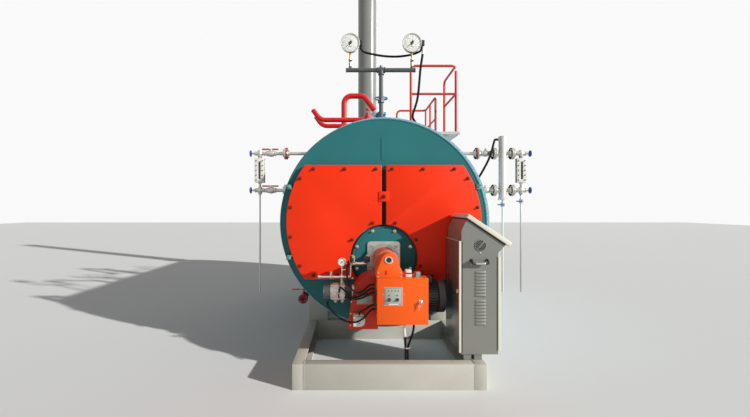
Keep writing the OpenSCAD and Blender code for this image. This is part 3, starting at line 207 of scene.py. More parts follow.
def useGroup(tree, key, links=(), **values):
    node = addNode(tree, "ShaderNodeGroup", node_tree=groups[key])
    for label, value in values.items():
        node.inputs[label.replace("_", " ")].default_value = value
    for label, source in links:
        tree.links.new(source, node.inputs[label])
    return node


def newMaterial(name):
    material = bpy.data.materials.new(name)
    material.use_nodes = True
    tree = material.node_tree
    shader = tree.nodes["Principled BSDF"]
    return material, tree, shader


def setBump(tree, shader, height, distance, strength=1.0):
    bump = addNode(tree, "ShaderNodeBump")
    bump.inputs["Distance"].default_value = distance
    bump.inputs["Strength"].default_value = strength
    tree.links.new(height, bump.inputs["Height"])
    tree.links.new(bump.outputs["Normal"], shader.inputs["Normal"])


# What each finish looks like: tone is how uneven the colour is, patch and grain are the sizes of that
# unevenness and of the relief, per metre, and relief is its depth in metres
plainLook = {"rough": 0.4, "metal": 0.0, "coat": 0.0, "shine": 0.5, "tone": 0.05, "patch": 2.5,
    "grain": 320.0, "relief": 0.0003, "dust": 0.15, "wear": 0.0, "worn": card(150, 146, 138), "chips": 0.0}
looks = {
    "tealPaint": {"colour": card(48, 117, 120), "rough": 0.4, "shine": 0.16, "tone": 0.09, "patch": 1.5,
        "dust": 0.22, "wear": 0.25, "worn": card(128, 160, 156), "grain": 120.0, "relief": 0.0004},
    "coverPaint": {"colour": card(252, 54, 12), "rough": 0.45, "shine": 0.22, "tone": 0.035, "dust": 0.10,
        "wear": 0.2, "worn": card(214, 96, 66), "grain": 90.0, "relief": 0.0004},
    # cover bolts a darker red than the cover, for the shade round each bolt: painted shade
    "boltPaintedShade": {"colour": card(112, 30, 16), "rough": 0.5, "shine": 0.3, "tone": 0.08, "patch": 30.0,
        "dust": 0.1, "wear": 0.2, "worn": card(150, 60, 40)},
    "burnerPaint": {"colour": card(253, 96, 14), "rough": 0.42, "shine": 0.3, "tone": 0.03, "dust": 0.10,
        "grain": 700.0, "relief": 0.0002, "wear": 0.25, "worn": card(226, 150, 104)},
    "fanPaint": {"colour": card(216, 52, 20), "rough": 0.42, "shine": 0.3, "tone": 0.05, "dust": 0.16,
        "grain": 380.0, "relief": 0.0005, "wear": 0.25, "worn": card(190, 106, 80)},
    # round head behind the hood: orange paint made paler and pinker for the reflection on it (painted
    # reflection), with real dust and wear
    "headPaintAndSheen": {"colour": card(214, 112, 78), "rough": 0.5, "tone": 0.08, "dust": 0.25, "patch": 9.0,
        "relief": 0.0005, "wear": 0.25, "worn": card(196, 168, 150)},
    "railPaint": {"colour": card(224, 58, 44), "rough": 0.38, "shine": 0.35, "coat": 0.1, "tone": 0.06,
        "dust": 0.18, "wear": 0.3, "worn": card(190, 120, 108), "chips": 0.25},
    "pipeRed": {"colour": card(218, 26, 30), "rough": 0.34, "shine": 0.35, "coat": 0.1, "tone": 0.06,
        "dust": 0.2, "wear": 0.25, "worn": card(160, 72, 66)},
    "skidPaint": {"colour": card(190, 187, 176), "rough": 0.55, "tone": 0.07, "dust": 0.45, "patch": 3.5,
        "grain": 160.0, "relief": 0.0005, "wear": 0.45, "worn": card(120, 100, 84), "chips": 0.4},
    "panelGrey": {"colour": card(112, 112, 107), "rough": 0.24, "tone": 0.03, "dust": 0.05, "grain": 900.0,
        "relief": 0.0001},
    "cabinetPaint": {"colour": card(132, 133, 126), "rough": 0.38, "tone": 0.025, "dust": 0.12,
        "grain": 900.0, "relief": 0.0002, "wear": 0.2, "worn": card(170, 168, 160)},
    "creamPaint": {"colour": card(232, 229, 210), "rough": 0.36, "shine": 0.3, "tone": 0.03, "dust": 0.16,
        "grain": 600.0, "relief": 0.0002, "wear": 0.2, "worn": card(170, 164, 150)},
    # paler teal with near-white edges for the clamp lugs, standing in for their highlights: painted highlight
    "tealPaintedHighlight": {"colour": card(96, 158, 152), "rough": 0.34, "coat": 0.2, "tone": 0.08, "patch": 30.0,
        "dust": 0.1, "wear": 0.5, "worn": card(190, 200, 194)},
    "chimneySteel": {"colour": card(142, 143, 138), "rough": 0.22, "metal": 0.05, "shine": 0.3, "tone": 0.05,
        "dust": 0.05, "patch": 1.6, "grain": 200.0, "relief": 0.0002},
    "darkPipe": {"colour": card(78, 82, 84), "rough": 0.45, "tone": 0.08, "dust": 0.2, "grain": 260.0,
        "relief": 0.0004, "wear": 0.3, "worn": card(128, 126, 120)},
    "castAlloy": {"colour": card(186, 184, 178), "rough": 0.42, "metal": 0.85, "tone": 0.08, "patch": 12.0,
        "grain": 420.0, "relief": 0.0006, "dust": 0.15},
    "pumpAlloy": {"colour": card(226, 222, 212), "rough": 0.34, "metal": 0.35, "tone": 0.07, "patch": 34.0,
        "grain": 260.0, "relief": 0.0008, "dust": 0.1},
    "darkAlloy": {"colour": card(112, 112, 107), "rough": 0.42, "metal": 0.5, "tone": 0.08, "patch": 20.0,
        "grain": 300.0, "relief": 0.0006, "dust": 0.12},
    "brightSteel": {"colour": card(205, 204, 200), "rough": 0.24, "metal": 1.0, "tone": 0.05, "patch": 20.0,
        "dust": 0.05},
    "zincBolt": {"colour": card(192, 190, 178), "rough": 0.36, "metal": 0.9, "tone": 0.1, "patch": 40.0,
        "dust": 0.12},
    "brass": {"colour": card(164, 142, 98), "rough": 0.36, "metal": 0.85, "tone": 0.14, "patch": 60.0,
        "dust": 0.12},
    "paleBrass": {"colour": card(206, 194, 166), "rough": 0.34, "metal": 0.8, "tone": 0.1, "patch": 40.0,
        "dust": 0.1},
    "blackPlastic": {"colour": card(30, 30, 32), "rough": 0.42, "tone": 0.05, "dust": 0.12, "grain": 900.0},
    "cableBlack": {"colour": card(12, 12, 13), "rough": 0.55, "shine": 0.16, "tone": 0.06, "patch": 14.0,
        "dust": 0.08, "grain": 600.0, "relief": 0.0003},
    "motorBlack": {"colour": card(34, 35, 37), "rough": 0.4, "tone": 0.06, "dust": 0.25, "grain": 500.0,
        "relief": 0.0004, "wear": 0.3, "worn": card(96, 96, 96)},
    "whiteEnamel": {"colour": card(232, 230, 222), "rough": 0.4, "tone": 0.04, "patch": 10.0, "dust": 0.14,
        "wear": 0.3, "worn": card(150, 146, 136)},
    "paleSteel": {"colour": card(200, 198, 190), "rough": 0.34, "metal": 0.6, "tone": 0.07, "patch": 14.0,
        "dust": 0.12},
    "greyPlastic": {"colour": card(158, 160, 150), "rough": 0.48, "tone": 0.03, "dust": 0.1, "grain": 800.0},
    "panelFace": {"colour": card(176, 178, 168), "rough": 0.4, "tone": 0.02, "dust": 0.05, "grain": 800.0},
    "gaugeCase": {"colour": card(206, 206, 198), "rough": 0.34, "metal": 0.35, "tone": 0.05, "patch": 12.0,
        "dust": 0.12},
    "sleeveRed": {"colour": card(196, 34, 40), "rough": 0.42, "tone": 0.05, "patch": 20.0, "dust": 0.12},
    "glassDark": {"colour": card(16, 20, 20), "rough": 0.12, "coat": 0.5, "tone": 0.02, "dust": 0.0},
    "dialWhite": {"colour": card(240, 240, 234), "rough": 0.5, "tone": 0.02, "dust": 0.0},
    "inkBlack": {"colour": card(22, 22, 24), "rough": 0.6, "tone": 0.02, "dust": 0.0},
    "inkGrey": {"colour": card(120, 122, 120), "rough": 0.6, "tone": 0.02, "dust": 0.0},
    "valveBlue": {"colour": card(18, 128, 190), "rough": 0.36, "coat": 0.2, "tone": 0.06, "dust": 0.18,
        "wear": 0.35, "worn": card(140, 160, 176)},
    "knobBlue": {"colour": card(34, 58, 158), "rough": 0.4, "tone": 0.04, "dust": 0.1},
    "leverRed": {"colour": card(150, 34, 36), "rough": 0.4, "tone": 0.05, "dust": 0.14, "wear": 0.3,
        "worn": card(150, 120, 112)},
    "leverBlue": {"colour": card(40, 92, 190), "rough": 0.42, "tone": 0.05, "dust": 0.12},
    "coilBrown": {"colour": card(70, 46, 34), "rough": 0.45, "tone": 0.06, "dust": 0.12, "grain": 700.0},
    "bandSteel": {"colour": card(176, 188, 194), "rough": 0.34, "metal": 0.45, "tone": 0.05, "patch": 4.0,
        "dust": 0.15, "grain": 500.0, "relief": 0.0002},
    "plugBeige": {"colour": card(186, 172, 140), "rough": 0.45, "tone": 0.06, "dust": 0.12, "grain": 700.0},
    "lampGreen": {"colour": card(22, 128, 78), "rough": 0.2, "coat": 0.6, "tone": 0.02, "dust": 0.0},
    "lampRed": {"colour": card(176, 30, 36), "rough": 0.2, "coat": 0.6, "tone": 0.02, "dust": 0.0},
    "filmPink": {"colour": card(240, 150, 132), "rough": 0.5, "tone": 0.12, "patch": 60.0, "dust": 0.0},
    # near-black that stands in for the shade inside openings and gaps: painted shade
    "paintedShadeBlack": {"colour": card(14, 14, 15), "rough": 0.8, "tone": 0.02, "dust": 0.05},
    "gasket": {"colour": card(30, 30, 30), "rough": 0.7, "tone": 0.05, "dust": 0.12},
}


def makeFinish(name, look):
    look = {**plainLook, **look}
    material, tree, shader = newMaterial(name)
    coat = useGroup(tree, "mottle", Color=look["colour"], Tone=look["tone"], Patch=look["patch"],
        Grain=look["grain"], Relief=1.0, Roughness=look["rough"])
    colour, rough = coat.outputs["Color"], coat.outputs["Roughness"]
    if look["wear"] or look["chips"]:
        rubbed = useGroup(tree, "wear", [("Color", colour), ("Roughness", rough)], Wear=look["wear"],
            Worn_Color=look["worn"], Chips=look["chips"])
        colour, rough = rubbed.outputs["Color"], rubbed.outputs["Roughness"]
    if look["dust"]:
        dusty = useGroup(tree, "dust", [("Color", colour), ("Roughness", rough)], Dust=look["dust"])
        colour, rough = dusty.outputs["Color"], dusty.outputs["Roughness"]
    tree.links.new(colour, shader.inputs["Base Color"])
    tree.links.new(rough, shader.inputs["Roughness"])
    shader.inputs["Metallic"].default_value = look["metal"]
    shader.inputs["Specular IOR Level"].default_value = look["shine"]
    shader.inputs["Coat Weight"].default_value = look["coat"]
    shader.inputs["Coat Roughness"].default_value = 0.15
    setBump(tree, shader, coat.outputs["Height"], look["relief"])
    return material


# Light blue coated sheet, embossed; the near-white flecks in its emboss cells stand in for glints of light on
# the relief: painted highlight
def makeJacketSheet():
    material, tree, shader = newMaterial("jacketSheet")
    place = addNode(tree, "ShaderNodeTexCoord").outputs["Object"]
    cells = addNode(tree, "ShaderNodeTexVoronoi", feature="F1")
    cells.inputs["Scale"].default_value = 62.0
    tree.links.new(place, cells.inputs["Vector"])
    paintedGlints = ramp(tree, cells.outputs["Distance"], 0.20, 0.46)
    wide = noise(tree, place, 1.4, 4.0)
    tone = mixColour(tree, ramp(tree, wide, 0.3, 0.7), card(122, 170, 194), card(142, 184, 203))
    colour = mixColour(tree, paintedGlints, card(196, 214, 220), tone)
    dusty = useGroup(tree, "dust", [("Color", colour)], Dust=0.3, Roughness=0.5)
    tree.links.new(dusty.outputs["Color"], shader.inputs["Base Color"])
    tree.links.new(dusty.outputs["Roughness"], shader.inputs["Roughness"])
    shader.inputs["Metallic"].default_value = 0.1
    shader.inputs["Specular IOR Level"].default_value = 0.35
    setBump(tree, shader, cells.outputs["Distance"], 0.0012)
    return material


# Floor plate of the platform, with raised tears
def makeTreadPlate():
    material, tree, shader = newMaterial("treadPlate")
    place = addNode(tree, "ShaderNodeTexCoord").outputs["Object"]
    tears = []
    for turn in (45, -45):
        mapping = addNode(tree, "ShaderNodeMapping")
        mapping.inputs["Rotation"].default_value = (0, 0, math.radians(turn))
        mapping.inputs["Scale"].default_value = (14.0, 44.0, 1.0)
        tree.links.new(place, mapping.inputs["Vector"])
        cells = addNode(tree, "ShaderNodeTexVoronoi", feature="F1", voronoi_dimensions="2D")
        cells.inputs["Scale"].default_value = 1.0
        cells.inputs["Randomness"].default_value = 0.0
        tree.links.new(mapping.outputs["Vector"], cells.inputs["Vector"])
        tears.append(math2(tree, "SUBTRACT", 1.0, ramp(tree, cells.outputs["Distance"], 0.12, 0.3)))
    raised = math2(tree, "MAXIMUM", tears[0], tears[1])
    coat = useGroup(tree, "mottle", Color=card(206, 205, 196), Tone=0.06, Roughness=0.5, Relief=0.0)
    dusty = useGroup(tree, "dust", [("Color", coat.outputs["Color"]), ("Roughness",
        coat.outputs["Roughness"])], Dust=0.5)
    tree.links.new(dusty.outputs["Color"], shader.inputs["Base Color"])
    tree.links.new(dusty.outputs["Roughness"], shader.inputs["Roughness"])
    setBump(tree, shader, raised, 0.002)
    return material


# Clear glass over a dial
def makeGlass():
    material, tree, shader = newMaterial("clearGlass")
    shader.inputs["Base Color"].default_value = (1, 1, 1, 1)
    shader.inputs["Transmission Weight"].default_value = 1.0
    shader.inputs["IOR"].default_value = 1.45
    place = addNode(tree, "ShaderNodeTexCoord").outputs["Object"]
    smear = ramp(tree, noise(tree, place, 18.0, 4.0), 0.3, 0.8)
    tree.links.new(math2(tree, "MULTIPLY", smear, 0.06), shader.inputs["Roughness"])
    shader.inputs["Alpha"].default_value = 0.16
    return material


finishes = {name: makeFinish(name, look) for name, look in looks.items()}
finishes["jacketSheet"] = makeJacketSheet()
finishes["treadPlate"] = makeTreadPlate()
finishes["clearGlass"] = makeGlass()
print("finishes made:", len(finishes))


# Shapes. Each starts as a small bmesh of its own and is added to its piece in place

def toward(axis, place=(0, 0, 0)):
    turn = Vector((0, 0, 1)).rotation_difference(Vector(axis)).to_matrix().to_4x4()
    return Matrix.Translation(Vector(place)) @ turn


# Local X to the right, local Y up and local Z out of the boiler's front
def frontward(place):
    return Matrix.Translation(Vector(place)) @ Matrix.Rotation(math.radians(90), 4, "X")


def add(target, shape, finish=0, matrix=None):
    if matrix is not None:
        bmesh.ops.transform(shape, matrix=matrix, verts=shape.verts)
    for face in shape.faces:
        face.material_index = finish
    store = bpy.data.meshes.new("store")
    shape.to_mesh(store)
    shape.free()
    target.from_mesh(store)
    bpy.data.meshes.remove(store)


# The same, with its own Z axis turned along way
def put(target, shape, finish, way, place):
    add(target, shape, finish, toward(way, place))


def bevelEdges(shape, edges, offset, steps=2):
    bmesh.ops.bevel(shape, geom=edges, offset=offset, offset_type="OFFSET", affect="EDGES", segments=steps,
        profile=0.5, clamp_overlap=True, material=-1)


def sharpEdges(shape, degrees=25):
    shape.normal_update()
    limit = math.radians(degrees)
    return [edge for edge in shape.edges if edge.is_manifold and edge.calc_face_angle(0.0) > limit]


def boxShape(low, high, edge=0.002, steps=2):
    shape = bmesh.new()
    size = Vector(high) - Vector(low)
    middle = (Vector(high) + Vector(low)) / 2
    bmesh.ops.create_cube(shape, size=1.0, matrix=Matrix.Translation(middle) @ Matrix.Diagonal((*size, 1.0)))
    if edge:
        bevelEdges(shape, shape.edges[:], edge, steps)
    return shape


# Turned about Z from points of radius and height; a closed outline makes a ring
def turnedShape(outline, steps=48, closed=False):
    shape = bmesh.new()
    points = [shape.verts.new((radius, 0, height)) for radius, height in outline]
    pairs = list(zip(points, points[1:]))
    if closed:
        pairs.append((points[-1], points[0]))
    edges = [shape.edges.new(pair) for pair in pairs]
    bmesh.ops.spin(shape, geom=points + edges, cent=(0, 0, 0), axis=(0, 0, 1), angle=math.tau, steps=steps,
        use_merge=True)
    bmesh.ops.remove_doubles(shape, verts=shape.verts, dist=1e-6)
    bmesh.ops.recalc_face_normals(shape, faces=shape.faces)
    return shape


# A disc or drum with rounded rims, from z = 0 up
def drumShape(radius, height, rim=0.001, steps=48):
    return turnedShape([(0, 0), (radius - rim, 0), (radius - rim * 0.3, rim * 0.3), (radius, rim),
        (radius, height - rim), (radius - rim * 0.3, height - rim * 0.3), (radius - rim, height),
        (0, height)], steps)


# An outline in X and Z, from its front to its back
def prismShape(outline, front, back, edge=0.0, steps=2):
    shape = bmesh.new()
    face = shape.faces.new([shape.verts.new((x, front, z)) for x, z in outline])
    grown = bmesh.ops.extrude_face_region(shape, geom=[face])
    moved = [item for item in grown["geom"] if isinstance(item, bmesh.types.BMVert)]
    bmesh.ops.translate(shape, verts=moved, vec=(0, back - front, 0))
    bmesh.ops.recalc_face_normals(shape, faces=shape.faces)
    if edge:
        bevelEdges(shape, sharpEdges(shape), edge, steps)
    return shape


# A round tube along points
def tubeShape(points, radius, sides=16):
    shape = bmesh.new()
    points = [Vector(point) for point in points]
    way = (points[1] - points[0]).normalized()
    bmesh.ops.create_circle(shape, cap_ends=True, segments=sides, radius=radius,
        matrix=toward(way, points[0]))
    edges = shape.edges[:]
    for i in range(1, len(points)):
        ahead = points[min(i + 1, len(points) - 1)] - points[i]
        behind = points[i] - points[i - 1]
        nextWay = (ahead.normalized() + behind.normalized()).normalized()
        grown = bmesh.ops.extrude_edge_only(shape, edges=edges)["geom"]
        verts = [item for item in grown if isinstance(item, bmesh.types.BMVert)]
        edges = [item for item in grown if isinstance(item, bmesh.types.BMEdge)]
        turn = way.rotation_difference(nextWay).to_matrix().to_4x4()
        step = Matrix.Translation(points[i]) @ turn @ Matrix.Translation(-points[i - 1])
        bmesh.ops.transform(shape, matrix=step, verts=verts)
        way = nextWay
    bmesh.ops.edgeloop_fill(shape, edges=[edge for edge in edges if edge.is_boundary])
    bmesh.ops.recalc_face_normals(shape, faces=shape.faces)
    return shape


# Points along straight runs whose corners are rounded
def bentPath(corners, bend, steps=8):
    corners = [Vector(corner) for corner in corners]
    path = [corners[0]]
    for before, corner, after in zip(corners, corners[1:], corners[2:]):
        arrive = (before - corner).normalized()
        leave = (after - corner).normalized()
        for i in range(steps + 1):
            t = i / steps
            a = corner + arrive * bend * (1 - t)
            b = corner + leave * bend * t
            path.append(a.lerp(b, t))
    path.append(corners[-1])
    return path


# A hexagon bolt head on its washer, from z = 0 up
def boltShape(radius, height, washer=1.45):
    shape = bmesh.new()
    bmesh.ops.create_cone(shape, cap_ends=True, segments=6, radius1=radius, radius2=radius, depth=height,
        matrix=Matrix.Translation((0, 0, height * 0.62)))
    top = [edge for edge in shape.edges if min(vert.co.z for vert in edge.verts) > height]
    bevelEdges(shape, top, radius * 0.14, 1)
    add(shape, drumShape(radius * washer, height * 0.22, height * 0.05, 20))
    return shape


def screwShape(radius):
    return turnedShape([(0, 0), (radius, 0), (radius, radius * 0.25), (radius * 0.8, radius * 0.5),
        (radius * 0.45, radius * 0.62), (0, radius * 0.66)], 16)


# Lettering on a dial as flat faces facing local Z
def figureShape(text, size):
    curve = bpy.data.curves.new("figure", "FONT")
    curve.body = text
    curve.size = size
    curve.align_x = "CENTER"
    curve.align_y = "CENTER"
    holder = bpy.data.objects.new("figure", curve)
    mesh = bpy.data.meshes.new_from_object(holder)
    shape = bmesh.new()
    shape.from_mesh(mesh)
    bpy.data.objects.remove(holder)
    bpy.data.meshes.remove(mesh)
    return shape


def makePiece(name, shape, materials, body="boiler", hides=(), smooth=32):
    shape.normal_update()
    limit = math.radians(smooth)
    for face in shape.faces:
        face.smooth = True
    for edge in shape.edges:
        edge.smooth = edge.is_manifold and edge.calc_face_angle(0.0) < limit
    mesh = bpy.data.meshes.new(name)
    shape.to_mesh(mesh)
    shape.free()
    for material in materials:
        mesh.materials.append(finishes[material])
    piece = bpy.data.objects.new(name, mesh)
    scene.collection.objects.link(piece)
    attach(piece, body)
    if hides:
        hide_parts(*hides)
    return piece


# A CAD node whose shape is right keeps it and gets its finish
def coatNode(node, material):
    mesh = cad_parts[node].data
    mesh.materials.clear()
    mesh.materials.append(finishes[material])


def nodeShape(node):
    shape = bmesh.new()
    shape.from_mesh(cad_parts[node].data)
    bmesh.ops.remove_doubles(shape, verts=shape.verts, dist=2e-5)
    bmesh.ops.dissolve_limit(shape, angle_limit=math.radians(0.5), verts=shape.verts, edges=shape.edges,
        use_dissolve_boundaries=False)
    return shape


# The same shape with its sharp edges eased
def easeNode(node, material, edge=0.002, steps=2, body="boiler", degrees=40):
    shape = nodeShape(node)
    bevelEdges(shape, sharpEdges(shape, degrees), edge, steps)
    makePiece(node + "_eased", shape, [material], body, [node])


# Lowest and highest corner of each loose solid in a node
def islands(node):
    shape = bmesh.new()
    shape.from_mesh(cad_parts[node].data)
    bmesh.ops.remove_doubles(shape, verts=shape.verts, dist=2e-5)
    left = set(shape.verts)
    found = []
    while left:
        reach = [left.pop()]
        low = reach[0].co.copy()
        high = reach[0].co.copy()
        while reach:
            vert = reach.pop()
            low = Vector(map(min, low, vert.co))
            high = Vector(map(max, high, vert.co))
            for edge in vert.link_edges:
                other = edge.other_vert(vert)
                if other in left:
                    left.remove(other)
                    reach.append(other)
        found.append((low, high))
    shape.free()
    return found


# Places that many pieces share
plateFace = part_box("throat_disc")[1].y
shellLow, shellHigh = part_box("rear_smoke_box")
shellZ = shellHigh.z - (shellHigh.x - shellLow.x) / 2
burnerLow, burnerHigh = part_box("throat_disc")
burnerZ = (burnerLow.z + burnerHigh.z) / 2
jacketLow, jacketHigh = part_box("shell_jacket")
jacketMiddle = (jacketLow.x + jacketHigh.x) / 2
jacketRadius = (jacketHigh.x - jacketLow.x) / 2


# Plain nodes that keep their own shape
coats = {
    "shell_jacket": "jacketSheet", "front_plate": "tealPaint", "rear_smoke_box": "tealPaint",
    "rear_cover": "tealPaint", "stack": "chimneySteel", "steam_pipe": "pipeRed", "safety_valves": "pipeRed",
    "guard_rail_front": "railPaint", "guard_rail_rear": "railPaint", "gauge_stand": "darkPipe",
    "steam_valve": "valveBlue", "steam_valve_wheel": "valveBlue", "blowdown_valve": "leverRed",
    "blowdown_lever": "leverRed", "level_pipes_left": "paleSteel", "level_pipes_right": "paleSteel",
    "level_glass_left": "whiteEnamel", "level_glass_right": "whiteEnamel", "level_column": "whiteEnamel",
    "cock_wheel_left_top": "knobBlue", "cock_wheel_left_low": "knobBlue", "cock_wheel_right_top": "knobBlue",
    "cock_wheel_right_low": "knobBlue", "column_drain_lever": "leverBlue", "glass_drain_lever": "leverBlue",
    "pressure_gauges": "whiteEnamel", "burner_fittings": "whiteEnamel", "fuel_pump": "castAlloy",
    "fuel_pipes": "brightSteel", "burner_motor": "motorBlack", "burner_cables": "cableBlack",
    "gauge_cables": "cableBlack", "control_box": "burnerPaint", "control_box_door": "burnerPaint",
    "burner_head": "burnerPaint", "burner_flange": "castAlloy", "cabinet_body": "cabinetPaint",
    "cabinet_roof": "creamPaint", "cabinet_door": "creamPaint", "cabinet_panel": "creamPaint",
    "platform": "treadPlate", "cover_bolts": "coverPaint",
}
for node, material in coats.items():
    coatNode(node, material)


# Jacket: steel bands over the joints of its sheet courses, with a row of screws along each
bands = {"courses": 4, "width": 0.050, "proud": 0.0016, "screws": 40}


def makeJacketBands():
    shape = bmesh.new()
    stretch = (jacketHigh.y - jacketLow.y) / bands["courses"]
    skin, wide = jacketRadius + bands["proud"], bands["width"]
    strip = [(jacketRadius - 0.001, 0), (skin, 0), (skin + 0.0008, wide * 0.2), (skin + 0.0008, wide * 0.8),
        (skin, wide), (jacketRadius - 0.001, wide)]
    for i in range(1, bands["courses"]):
        middle = Vector((jacketMiddle, jacketLow.y + stretch * i - wide / 2, jacketHigh.z - jacketRadius))
        put(shape, turnedShape(strip, 160, True), 0, (0, 1, 0), middle)
        for k in range(bands["screws"]):
            turn = math.tau * (k + 0.5) / bands["screws"]
            out = Vector((math.cos(turn), 0, math.sin(turn)))
            place = middle + out * (skin + 0.0004) + Vector((0, wide / 2, 0))
            put(shape, drumShape(0.0055, 0.0026, 0.0009, 8), 1, out, place)
    makePiece("jacket_bands", shape, ["bandSteel", "zincBolt"])


makeJacketBands()


# Skid and saddles: rolled channels with soft corners, welded and painted
skid = {"edge": 0.003, "weld": 0.004}
for node in ("skid_beam_left", "skid_beam_right", "skid_front_beam", "skid_second_beam", "skid_middle_beam",
        "skid_fourth_beam", "skid_rear_beam", "saddle_front_left", "saddle_front_right", "saddle_rear_left",
        "saddle_rear_right"):
    easeNode(node, "skidPaint", skid["edge"])


def weldLine(shape, start, end, radius):
    start, end = Vector(start), Vector(end)
    count = max(2, int((end - start).length / (radius * 1.6)))
    for i in range(count):
        bead = bmesh.new()
        bmesh.ops.create_uvsphere(bead, u_segments=8, v_segments=5, radius=radius)
        add(shape, bead, 0, Matrix.Translation(start.lerp(end, (i + 0.5) / count)))


def makeSkidWelds():
    shape = bmesh.new()
    low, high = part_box("skid_front_beam")
    for x in (low.x, high.x):
        weldLine(shape, (x, low.y, low.z + 0.006), (x, low.y, high.z - 0.004), skid["weld"])
        weldLine(shape, (x, low.y + 0.004, high.z), (x, high.y, high.z), skid["weld"])
    for node in ("skid_second_beam", "skid_middle_beam", "skid_fourth_beam"):
        low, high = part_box(node)
        for x in (low.x, high.x):
            weldLine(shape, (x, low.y, high.z), (x, high.y, high.z), skid["weld"])
    makePiece("skid_welds", shape, ["skidPaint"])


makeSkidWelds()
print("skid done")


# Covers of the front smoke box, their bolts and the cleat between them
covers = {"edge": 0.005, "boltRadius": 0.0115, "boltHeight": 0.017, "cleatEdge": 0.003}
for node in ("cover_left", "cover_right"):
    easeNode(node, "coverPaint", covers["edge"], 3)


def makeCoverBolts():
    shape = bmesh.new()
    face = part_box("cover_left")[0].y
    # bolt heads take the darker red, which is painted shade
    for low, high in islands("cover_bolts"):
        middle = (low + high) / 2
        if high.z - low.z > 0.05:
            add(shape, boxShape((low.x, face - 0.008, low.z), (high.x, face, high.z), covers["cleatEdge"]))
            put(shape, boltShape(0.013, 0.018), 1, (0, -1, 0), (middle.x, face - 0.008, middle.z))
        else:
            put(shape, boltShape(covers["boltRadius"], covers["boltHeight"]), 1, (0, -1, 0),
                (middle.x, face, middle.z))
    makePiece("cover_fixings", shape, ["coverPaint", "boltPaintedShade"], hides=["cover_bolts"])


makeCoverBolts()


# Painted shade: a dark strip over the plate in the gap between the covers, from a little under their top down
# to the burner's disc, stands in for the shadow the covers cast there
gapShade = {"thick": 0.012, "lap": 0.002, "belowTop": 0.045}


def makeCoverGapShade():
    left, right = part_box("cover_left"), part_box("cover_right")
    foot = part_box("throat_disc")[1].z - gapShade["lap"]
    back = left[1].y
    shape = boxShape((left[1].x - gapShade["lap"], back - gapShade["thick"], foot), (right[0].x + gapShade["lap"], back,
        left[1].z - gapShade["belowTop"]), gapShade["lap"])
    makePiece("cover_gap_painted_shade", shape, ["paintedShadeBlack"])


makeCoverGapShade()


# Front plate: weld ring round its rim, and the wing nuts of its clamp lugs
clampLug = {"rise": 0.320, "inner": 0.887, "stand": 0.036}


def makePlateTrim():
    shape = bmesh.new()
    radius = (shellHigh.x - shellLow.x) / 2
    ring = [(radius - 0.016, 0), (radius - 0.013, 0.003), (radius - 0.006, 0.004), (radius, 0.0)]
    put(shape, turnedShape(ring, 160, True), 0, (0, -1, 0), (0, plateFace, shellZ))
    lugZ, reach = clampLug["rise"], (clampLug["inner"] + radius) / 2
    for side in (-1, 1):
        for up in (-1, 1):
            x = side * math.sqrt(reach ** 2 - lugZ ** 2)
            z = shellZ + up * lugZ
            if side > 0 > up:
                continue  # bare lug: the cabinet's door swings close to it
            nut = toward((0, -1, 0), (x, plateFace - clampLug["stand"], z))
            # nut, wings and bolt end take the paler teal, which is painted highlight
            add(shape, boltShape(0.015, 0.012), 1, nut)
            # wings of the swing bolt's nut, and the end of the bolt
            wing = boxShape((-0.032, -0.0060, 0.006), (0.032, 0.0060, 0.022), 0.0035, 2)
            add(shape, wing, 1, nut @ Matrix.Rotation(math.radians(38 * side * up), 4, "Z"))
            add(shape, drumShape(0.0062, 0.030, 0.001, 16), 1, nut)
    makePiece("front_plate_trim", shape, ["tealPaint", "tealPaintedHighlight"])


makePlateTrim()


# Disc that carries the burner, with its studs and nuts
throat = {"studRadius": 0.0105, "studHeight": 0.020, "studInset": 0.025, "count": 8}


def makeThroat():
    shape = bmesh.new()
    radius = (burnerHigh.x - burnerLow.x) / 2
    thick = plateFace - burnerLow.y - 0.016
    hole = 0.090
    put(shape, turnedShape([(hole, 0), (radius, 0), (radius, thick - 0.004), (radius - 0.004, thick),
        (radius - 0.016, thick), (radius - 0.019, thick - 0.003), (radius - 0.024, thick - 0.003),
        (radius - 0.027, thick), (hole, thick)], 128, True), 0, (0, -1, 0), (0, plateFace, burnerZ))
    ring = radius - throat["studInset"]
    for i in range(throat["count"]):
        turn = math.radians(22.5 + 45 * i)
        place = (ring * math.cos(turn), plateFace - thick, burnerZ + ring * math.sin(turn))
        put(shape, boltShape(throat["studRadius"], 0.010), 1, (0, -1, 0), place)
        put(shape, drumShape(0.006, throat["studHeight"], 0.001, 16), 1, (0, -1, 0), place)
    makePiece("throat_disc_dressed", shape, ["tealPaint", "zincBolt"],
        hides=["throat_disc"])


makeThroat()
print("front done")


# Burner: cast flange and collar, round head, arched hood with its sight glass
head = {
    "flangeSide": 0.300, "flangeThick": 0.012, "flangeCorner": 0.030, "boltPitch": 0.112,
    "collarRadius": 0.124, "collarLength": 0.040, "radius": 0.100, "reach": 0.575, "hoodLength": 0.215,
    "lean": 32.0, "leanAt": -0.034, "boxTop": 0.864, "edge": 0.003, "shoulder": 0.048, "crown": 0.060,
    "crownUp": 0.034, "glassAt": 0.094,
}
flangeFace = burnerLow.y + 0.016 - head["flangeThick"]
collarFace = flangeFace - head["collarLength"]


def roundedSquare(side, corner, steps=8):
    half = side / 2 - corner
    outline = []
    for x, z, start in ((half, half, 0), (-half, half, 90), (-half, -half, 180), (half, -half, 270)):
        for i in range(steps + 1):
            turn = math.radians(start + 90 * i / steps)
            outline.append((x + corner * math.cos(turn), z + corner * math.sin(turn)))
    return outline


